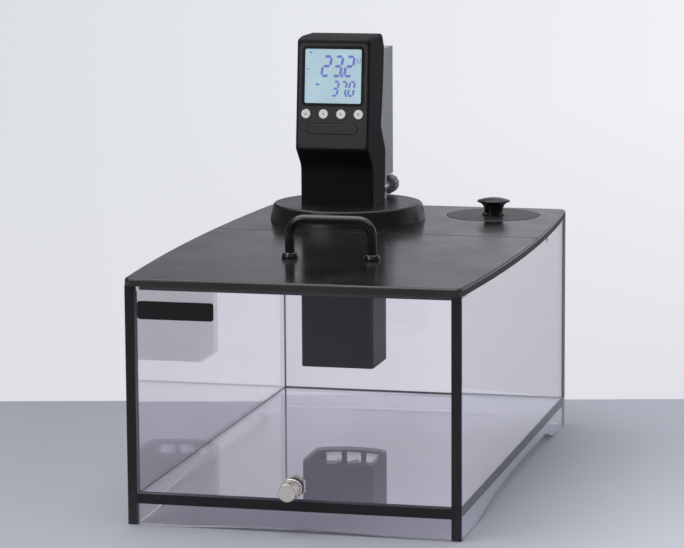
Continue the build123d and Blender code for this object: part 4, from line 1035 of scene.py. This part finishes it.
@dataclass(frozen=True)
class Number:
    """A row of seven-segment figures, set out in millimetres from the screen's top left corner."""

    text: str
    right: float
    down: float
    width: float
    height: float
    gap: float
    stroke: float

    LIT = {"0": "abcdef", "2": "abdeg", "3": "abcdg", "7": "abc"}
    DOT_BACK = 0.55
    DOT_WIDTH = 1.1

    def segments(self) -> Copies:
        """Work out the lit segments.

        Returns:
            The place, turn and growth of each segment, in millimetres from that corner.
        """
        flat = Vector((0.0, 0.0, 0.0))
        upright = Vector((0.0, 0.0, math.pi / 2))
        across = Vector((self.width - self.stroke * 0.5, self.stroke, 1.0))
        along = Vector((self.height / 2 - self.stroke * 0.5, self.stroke, 1.0))
        spots = {
            "a": (self.width / 2, self.height, flat, across),
            "b": (self.width, self.height * 0.75, upright, along),
            "c": (self.width, self.height * 0.25, upright, along),
            "d": (self.width / 2, 0.0, flat, across),
            "e": (0.0, self.height * 0.25, upright, along),
            "f": (0.0, self.height * 0.75, upright, along),
            "g": (self.width / 2, self.height * 0.5, flat, across),
        }
        made = []
        start = self.right
        for sign in self.text:
            if sign == ".":
                place = Vector((start - self.gap * self.DOT_BACK, -self.down, 0.0))
                made.append((place, flat, Vector((self.stroke * self.DOT_WIDTH, self.stroke, 1.0))))
                continue
            for name in self.LIT[sign]:
                x, y, turn, grow = spots[name]
                made.append((Vector((start + x, y - self.down, 0.0)), turn, grow))
            start += self.width + self.gap
        return made


@dataclass
class Display:
    """The lit display: a pale ground and slanted seven-segment figures."""

    finishes: Finishes
    copies: CopyTree
    panel: FrontPanel
    width: float = 63.1 * MM
    height: float = 58.7 * MM
    corner: float = 1.8 * MM
    centre_v: float = 80.25 * MM
    depth: float = -1.88 * MM
    face: float = -0.6 * MM
    surround: float = 3.4 * MM
    layer: float = 0.03 * MM
    layer_step: float = 1.2
    slant: float = 0.16
    slant_foot: float = 20 * MM
    segment_flat: float = 0.36

    NUMBERS = (
        Number("23.2", right=19.6, down=29.0, width=8.2, height=21.0, gap=4.6, stroke=2.9),
        Number("37.0", right=35.2, down=50.4, width=5.4, height=15.2, gap=3.6, stroke=2.3),
    )
    # The degree mark and the small marks: right, down, width and height in millimetres.
    SMALL_MARKS = (
        (57.4, 12.6, 1.1, 5.6),
        (60.2, 12.6, 1.1, 5.6),
        (17.0, 38.4, 4.6, 2.2),
        (3.6, 3.8, 3.2, 1.6),
        (3.2, 21.6, 2.6, 1.2),
    )

    def build(self) -> None:
        """Make the ground, the border round it and the figures."""
        self.finishes.dress({"display_module": "display frame", "display_window": "window"})
        inner = rounded_outline(self.width, self.height, self.corner)
        mesh = finish_mesh("display_ground", [prism(inner, 0.0, self.layer)], self.place(self.depth))
        place_piece("display_ground", mesh, self.finishes["display ground"], Body.CIRCULATOR)
        wide = self.width + 2 * self.surround
        tall = self.height + 2 * self.surround
        outer = rounded_outline(wide, tall, self.corner + self.surround)
        border = flat_frame(outer, inner, 0.0, self.layer)
        mesh = finish_mesh("screen_surround", [border], self.place(self.face))
        place_piece("screen_surround", mesh, self.finishes["screen border"], Body.CIRCULATOR)
        self.figures()

    def place(self, depth: float) -> Matrix:
        """The transform from the screen's middle, so far out of the panel, to the row frame."""
        return self.panel.place(0.0, self.centre_v, depth)

    def figures(self) -> None:
        """Make every lit segment, the degree mark and the small marks."""
        left = -self.width / 2
        top = self.height / 2
        flat = Vector((0.0, 0.0, 0.0))
        marks = [segment for number in self.NUMBERS for segment in number.segments()]
        for right, down, long, tall in self.SMALL_MARKS:
            marks.append((Vector((right, -down, 0.0)), flat, Vector((long, tall, 1.0))))
        corner = Vector((left, top, 0.0))
        points = [(corner + place * MM, turn, grow) for place, turn, grow in marks]
        tip = self.segment_flat
        outline = [(-0.5, 0.0), (-tip, -0.5), (tip, -0.5), (0.5, 0.0), (tip, 0.5), (-tip, 0.5)]
        bar = prism(outline, 0.0, self.layer / MM)
        template = bpy.data.meshes.new("segment")
        bar.to_mesh(template)
        bar.free()
        finish = self.finishes["display segment"]
        mesh = self.copies.make("display_figures", template, points, finish, size=MM)
        for vertex in mesh.vertices:
            vertex.co.x += self.slant * (vertex.co.y - top + self.slant_foot)
        mesh.transform(self.place(self.depth + self.layer * self.layer_step))
        place_piece("display_figures", mesh, finish, Body.CIRCULATOR)


class KeyMark(Enum):
    """The generic sign on each round key."""

    UP = 1
    DOWN = 2
    SET = 3
    RING = 4


@dataclass
class Keys:
    """The round keys and the wide key, with their small signs."""

    finishes: Finishes
    panel: FrontPanel
    spacing: float = 19.6 * MM
    up: float = 39.1 * MM
    face: float = 0.8 * MM
    raised: float = 0.03 * MM
    size: float = 1.3 * MM
    # The signs in shares of their size: an arrow's foot, a ring's two radii and a bar.
    arrow_foot: float = 0.7
    ring: tuple[float, float] = (1.15, 0.7)
    bar: tuple[float, float, float] = (0.9, 2.2, 0.4)

    def build(self) -> None:
        """Dress the keys and put a sign on each round one."""
        self.finishes.dress({"pill_button": "pill black"})
        middle = (len(KeyMark) + 1) / 2
        for mark in KeyMark:
            self.finishes.dress({f"round_button_{mark.value}": "key silver"})
            name = f"key_mark_{mark.value}"
            place = self.panel.place(self.spacing * (mark.value - middle), self.up, self.face)
            mesh = finish_mesh(name, [self.sign(mark)], place)
            place_piece(name, mesh, self.finishes["dark print and slot shade"], Body(f"button_{mark.value}"))

    def sign(self, mark: KeyMark) -> BMesh:
        """The thin solid of one sign.

        Args:
            mark: which sign.

        Returns:
            The solid, flat on the key's face.
        """
        size = self.size
        if mark is KeyMark.RING:
            outer, inner = (circle_outline(size * share) for share in self.ring)
            return flat_frame(outer, inner, -self.raised, self.raised)
        foot = size * self.arrow_foot
        outlines = {
            KeyMark.UP: [(-size, -foot), (size, -foot), (0.0, size)],
            KeyMark.DOWN: [(-size, foot), (0.0, -size), (size, foot)],
            KeyMark.SET: rounded_outline(*(size * share for share in self.bar)),
        }
        return prism(outlines[mark], -self.raised, self.raised)


@dataclass
class Circulator:
    """The circulator's covers, column, inner parts and back fittings."""

    finishes: Finishes
    copies: CopyTree
    centre_x: float = -59.7 * MM
    back: float = 252.1 * MM
    foot: float = 264.2 * MM
    screw_rise: tuple[float, float] = (33.5 * MM, 159.0 * MM)
    screw_half: float = 31.0 * MM
    screw_radius: float = 2.9 * MM
    screw_sides: int = 24
    screw_rings: int = 12
    screw_cut: float = -0.15
    screw_flatness: float = 0.42
    slot_length: float = 3.0 * MM
    slot_width: float = 0.6 * MM
    slot_out: float = 1.2 * MM
    slot_turn: float = 0.4
    slot_layer: float = 0.06 * MM
    rocker_up: float = 84.0 * MM
    rocker_in: float = 3.5 * MM
    rocker_tilt: float = math.radians(9.0)
    mark_side: float = 4.6 * MM
    mark_out: float = 4.15 * MM
    mark_line: tuple[float, float] = (0.7 * MM, 4.0 * MM)
    mark_ring: tuple[float, float] = (1.9 * MM, 1.3 * MM)
    mark_layer: tuple[float, float] = (-0.1 * MM, 0.05 * MM)
    corner: float = 0.2 * MM
    corner_steps: int = 2

    def build(self) -> None:
        """Dress every node and add the cover screws and switch marks."""
        self.finishes.dress({
            "mount_flange": "flange black",
            "pump_column": "column black",
            "head_shell": "shell black",
            "bezel_panel": "bezel black",
            "rear_housing": "housing grey",
            "shaft_bearing": "steel",
            "motor": "steel",
            "pump_shaft": "steel",
            "impeller": "pump plastic",
            "heater_element": "steel",
            "temperature_probe": "steel",
            "level_stem": "steel",
            "level_float": "pump plastic",
            "control_board": "board green",
            "power_board": "board green",
            "key_switches": "shell black",
            "inlet_socket": "rubber",
            "inlet_pins": "contact metal",
            "switch_frame": "shell black",
            "rocker_switch": "shell black",
            "rear_outlet": "steel",
            "outlet_cap": "cap grey",
        })
        self.cover_screws()
        self.switch_marks()

    def cover_screws(self) -> None:
        """Put a cross-headed screw near each corner of the rear cover, its cross a flat dark mark that
        paints the shade of the recess.
        """
        head = dome(self.screw_sides, self.screw_rings, self.screw_cut, self.screw_flatness)
        template = bpy.data.meshes.new("screw_head")
        head.to_mesh(template)
        head.free()
        turn = Vector((-math.pi / 2, 0.0, 0.0))
        grow = Vector((1.0, 1.0, 1.0)) * (self.screw_radius / MM)
        points = []
        for rise in self.screw_rise:
            for side in (-1, 1):
                place = Vector((self.centre_x + side * self.screw_half, self.back, self.foot + rise))
                points.append((place, turn, grow))
        finish = self.finishes["steel"]
        mesh = self.copies.make("cover_screws", template, points, finish, size=MM)
        for polygon in mesh.polygons:
            polygon.use_smooth = True
        place_piece("cover_screws", mesh, finish, Body.CIRCULATOR)
        # Each cross is a flat mark on the dome, not a recess: painted shade where the recess would be.
        slots = []
        for place, _, _ in points:
            for angle in (self.slot_turn, self.slot_turn + math.pi / 2):
                outline = rounded_outline(self.slot_length, self.slot_width, self.corner, self.corner_steps)
                cross = prism(outline, 0.0, self.slot_layer)
                cross.transform(Matrix.Rotation(angle, 4, "Z"))
                cross.transform(Matrix.Rotation(-math.pi / 2, 4, "X"))
                cross.transform(Matrix.Translation(place + Vector((0.0, self.slot_out, 0.0))))
                slots.append(cross)
        mesh = finish_mesh("cover_screw_slots", slots, Matrix.Identity(4))
        place_piece("cover_screw_slots", mesh, self.finishes["dark print and slot shade"], Body.CIRCULATOR)

    def switch_marks(self) -> None:
        """Put the line and the ring of a mains switch on the rocker."""
        tilt = Matrix.Rotation(self.rocker_tilt, 4, "Z")
        pivot = Vector((self.centre_x, self.back - self.rocker_in, self.foot + self.rocker_up))
        facing = Matrix.Rotation(-math.pi / 2, 4, "X")
        outline = rounded_outline(*self.mark_line, self.corner, self.corner_steps)
        line = prism(outline, *self.mark_layer)
        outer, inner = self.mark_ring
        ring = flat_frame(circle_outline(outer), circle_outline(inner), *self.mark_layer)
        for side, sign in ((1, line), (-1, ring)):
            sign.transform(facing)
            sign.transform(Matrix.Translation(Vector((side * self.mark_side, self.mark_out, 0.0))))
        mesh = finish_mesh("switch_marks", [line, ring], Matrix.Translation(pivot) @ tilt)
        place_piece("switch_marks", mesh, self.finishes["mark white"], Body.ROCKER)


@dataclass(frozen=True)
class SoftLamp:
    """A square lamp that hangs at a place and shines at a target."""

    name: str
    place: tuple[float, float, float]
    size: float
    power: float
    target: tuple[float, float, float] = (0.0, 0.0, 0.2)

    def hang(self) -> None:
        """Add the lamp to the scene."""
        data = bpy.data.lights.new(self.name, "AREA")
        data.shape = "SQUARE"
        data.size = self.size
        data.energy = self.power
        lamp = bpy.data.objects.new(self.name, data)
        lamp.location = self.place
        lamp.rotation_euler = (Vector(self.target) - Vector(self.place)).to_track_quat("-Z", "Y").to_euler()
        bpy.context.scene.collection.objects.link(lamp)


@dataclass
class Studio:
    """The camera, the lamps, the pale world and the table top."""

    sensor: float = 36.0
    focal_pixels: float = 3060.4
    picture_width: float = 684.0
    nearest: float = 0.05
    farthest: float = 60.0
    yaw: float = math.radians(14.1)
    pitch: float = math.radians(8.95)
    roll: float = math.radians(-0.36)
    eye: Vector = field(default_factory=lambda: Vector((755.84, -3081.99, 712.26)) * MM)

    backdrop_left: Colour = linear(220, 223, 228)
    backdrop_right: Colour = linear(241, 242, 246)
    backdrop_foot: Colour = linear(225, 226, 231)
    backdrop_across: Ramp = (-0.12, 0.12, 0.0, 1.0)
    backdrop_down: Ramp = (-0.195, -0.1, 1.0, 0.0)
    backdrop_shade_through: Ramp = (-0.06, 0.03, -0.12, 0.1)
    light_colour: Colour = (0.92, 0.95, 1.0, 1.0)
    light_power: float = 0.62
    mirror_colour: Colour = (0.93, 0.93, 1.0, 1.0)
    mirror_along: Ramp = (-0.3, 0.7, 0.2, 1.0)
    mirror_across: Ramp = (-0.2, 0.1, 0.08, 0.55)
    mirror_up: Ramp = (0.12, 0.17, 1.75, 0.75)
    mirror_overhead: Ramp = (0.5, 0.75, 0.0, 1.1)
    mirror_horizon: Ramp = (-0.06, 0.06, 0.0, 1.0)
    mirror_floor: float = 0.15

    table_edge: Vector = field(default_factory=lambda: Vector((-112.7, 373.1, 0.0)) * MM)
    table_turn: float = math.radians(13.2)
    table_sunk: float = 0.3 * MM
    table_half: float = 6.0
    table_reach: float = 7.0
    # The table's tones paint its light and shade: the near one lighter, the far one darker.
    table_near: Colour = linear(200, 202, 209)
    table_far: Colour = linear(163, 166, 175)
    table_light_falloff: Ramp = (-0.75, 0.39, 0.0, 1.0)
    table_light_across: Ramp = (-0.33, 0.33, 0.92, 1.3)
    table_shadow_through: Ramp = (-0.15, 0.06, -0.22, 0.2)
    table_mirrored_shade: Ramp = (-1.1, -0.8, 0.7, 0.0)
    speckle_scale: float = 1100.0
    speckle: Ramp = (0.3, 0.7, 0.985, 1.015)
    table_roughness: float = 0.6
    table_specular: float = 0.2

    LAMPS = (
        SoftLamp("top_lamp", (-0.5, 0.1, 2.3), 2.2, 26.0),
        SoftLamp("front_lamp", (-1.6, -2.4, 1.7), 1.4, 14.0),
    )

    @property
    def right(self) -> Vector:
        """The level way to the camera's right."""
        return Vector((math.cos(self.yaw), math.sin(self.yaw), 0.0))

    def build(self) -> None:
        """Set up the whole studio."""
        self.camera()
        for lamp in self.LAMPS:
            lamp.hang()
        self.world()
        self.table()

    def camera(self) -> None:
        """Stand the camera where the photograph was taken from."""
        right = self.right
        ahead = Vector((
            -math.sin(self.yaw) * math.cos(self.pitch),
            math.cos(self.yaw) * math.cos(self.pitch),
            -math.sin(self.pitch),
        ))
        above = right.cross(ahead)
        rolled_right = right * math.cos(self.roll) + above * math.sin(self.roll)
        rolled_up = above * math.cos(self.roll) - right * math.sin(self.roll)
        turned = Matrix((rolled_right, rolled_up, -ahead)).transposed().to_4x4()
        data = bpy.data.cameras.new("camera")
        data.lens = self.focal_pixels / self.picture_width * self.sensor
        data.sensor_width = self.sensor
        data.clip_start = self.nearest
        data.clip_end = self.farthest
        camera = bpy.data.objects.new("camera", data)
        camera.matrix_world = Matrix.Translation(self.eye) @ turned
        bpy.context.scene.collection.objects.link(camera)
        bpy.context.scene.camera = camera

    def world(self) -> None:
        """Make a pale backdrop, with dimmer surroundings for what the object mirrors and painted shade and
        light on what is seen through the sheets.
        """
        world = bpy.data.worlds.new("studio")
        world.use_nodes = True
        world.node_tree.nodes.clear()
        wiring = Wiring(world.node_tree)
        path = wiring.add("ShaderNodeLightPath").outputs
        way = wiring.add("ShaderNodeTexCoord").outputs["Generated"]
        across = wiring.dot(way, self.right)
        upward = wiring.part(way, "Z")
        share = wiring.spread(across, *self.backdrop_across)
        plain = wiring.blend(share, self.backdrop_left, self.backdrop_right)
        backdrop = wiring.blend(wiring.spread(upward, *self.backdrop_down), plain, self.backdrop_foot)
        # Painted shade and light on the backdrop seen through the sheets: darker to the left, lighter to
        # the right.
        shade = wiring.times(path["Is Transmission Ray"], wiring.spread(across, *self.backdrop_shade_through))
        strength = wiring.math("ADD", 1.0, shade)
        seen = wiring.add("ShaderNodeBackground", {"Color": backdrop, "Strength": strength})
        sockets = {"Color": self.mirror_colour, "Strength": self.mirror_power(wiring, way)}
        mirror = wiring.add("ShaderNodeBackground", sockets)
        sockets = {"Color": self.light_colour, "Strength": self.light_power}
        lighting = wiring.add("ShaderNodeBackground", sockets)
        direct = wiring.math("MAXIMUM", path["Is Camera Ray"], path["Is Transmission Ray"])
        soft = wiring.add("ShaderNodeMixShader", {0: direct, 1: lighting.outputs[0], 2: seen.outputs[0]})
        glossy = wiring.times(path["Is Glossy Ray"], wiring.rest(path["Is Transmission Ray"]))
        chosen = wiring.add("ShaderNodeMixShader", {0: glossy, 1: soft.outputs[0], 2: mirror.outputs[0]})
        wiring.add("ShaderNodeOutputWorld", {"Surface": chosen.outputs[0]})
        bpy.context.scene.world = world

    def mirror_power(self, wiring: Wiring, way: NodeSocket) -> NodeSocket:
        """How bright the room is that the object mirrors.

        Args:
            wiring: the world's wiring.
            way: the direction that a ray leaves in.

        Returns:
            The strength of the light from each direction.
        """
        ahead = Vector((-math.sin(self.yaw), math.cos(self.yaw), 0.0))
        across = wiring.spread(wiring.dot(way, self.right), *self.mirror_across)
        along = wiring.spread(wiring.dot(way, ahead), *self.mirror_along)
        upward = wiring.part(way, "Z")
        level = wiring.times(wiring.times(along, across), wiring.spread(upward, *self.mirror_up))
        above = wiring.math("MAXIMUM", level, wiring.spread(upward, *self.mirror_overhead))
        risen = wiring.spread(upward, *self.mirror_horizon)
        return wiring.add("ShaderNodeMix", {0: risen, 2: self.mirror_floor, 3: above}).outputs[0]

    def table(self) -> None:
        """Lay the pale table top, whose far edge shows behind the tank."""
        along = Vector((math.cos(self.table_turn), math.sin(self.table_turn), 0.0))
        ahead = Vector((-along.y, along.x, 0.0))
        edge = self.table_edge + Vector((0.0, 0.0, -self.table_sunk))
        left = edge - along * self.table_half
        right = edge + along * self.table_half
        reach = ahead * self.table_reach
        mesh = bpy.data.meshes.new("table_top")
        mesh.from_pydata([left, right, right - reach, left - reach], [], [(3, 2, 1, 0)])
        mesh.update()
        top = bpy.data.objects.new("table_top", mesh)
        bpy.context.scene.collection.objects.link(top)
        mesh.materials.append(self.table_paint_and_light(ahead))

    def table_paint_and_light(self, ahead: Vector) -> Material:
        """Make the table's colour, with painted light and shade graded over it.

        Args:
            ahead: the table's own way to its far edge.

        Returns:
            The new material.
        """
        material, wiring, shader, _ = new_material("table paint and painted light")
        path = wiring.add("ShaderNodeLightPath").outputs
        through = path["Is Transmission Ray"]
        place = wiring.place()
        depth = wiring.dot(place, ahead)
        aside = wiring.math("SUBTRACT", wiring.dot(place, self.right), self.eye.dot(self.right))
        # Painted light: lighter towards the front and towards the right.
        lit_by_depth = wiring.blend(wiring.spread(depth, *self.table_light_falloff), self.table_near, self.table_far)
        lit_across = wiring.scale(lit_by_depth, wiring.spread(aside, *self.table_light_across))
        # Painted shade and light on the table seen through the tank: darker to the left, lighter to the
        # right.
        shade = wiring.times(through, wiring.spread(aside, *self.table_shadow_through))
        shadowed = wiring.scale(lit_across, wiring.math("ADD", 1.0, shade))
        # Painted shade in reflections: the table's near part mirrors darker.
        mirrored = wiring.times(path["Is Glossy Ray"], wiring.rest(through))
        mirrored_shade = wiring.times(mirrored, wiring.spread(depth, *self.table_mirrored_shade))
        colour = wiring.scale(shadowed, wiring.rest(mirrored_shade))
        speckle = wiring.spread(wiring.noise(place, self.speckle_scale), *self.speckle)
        wiring.feed(wiring.scale(colour, speckle), shader.inputs["Base Color"])
        shader.inputs["Roughness"].default_value = self.table_roughness
        shader.inputs["Specular IOR Level"].default_value = self.table_specular
        return material


def main() -> None:
    """Dress the water bath, add its small parts and set up the studio."""
    logging.basicConfig(level=logging.INFO, format="%(message)s")
    bpy.context.scene.view_settings.view_transform = "Standard"
    finishes = Finishes()
    copies = CopyTree()
    beads = BeadTree()
    panel = FrontPanel()
    Tank(finishes, beads).build()
    TopPlates(finishes).build()
    Circulator(finishes, copies).build()
    Display(finishes, copies, panel).build()
    Keys(finishes, panel).build()
    Studio().build()


if __name__ == "__main__":
    main()
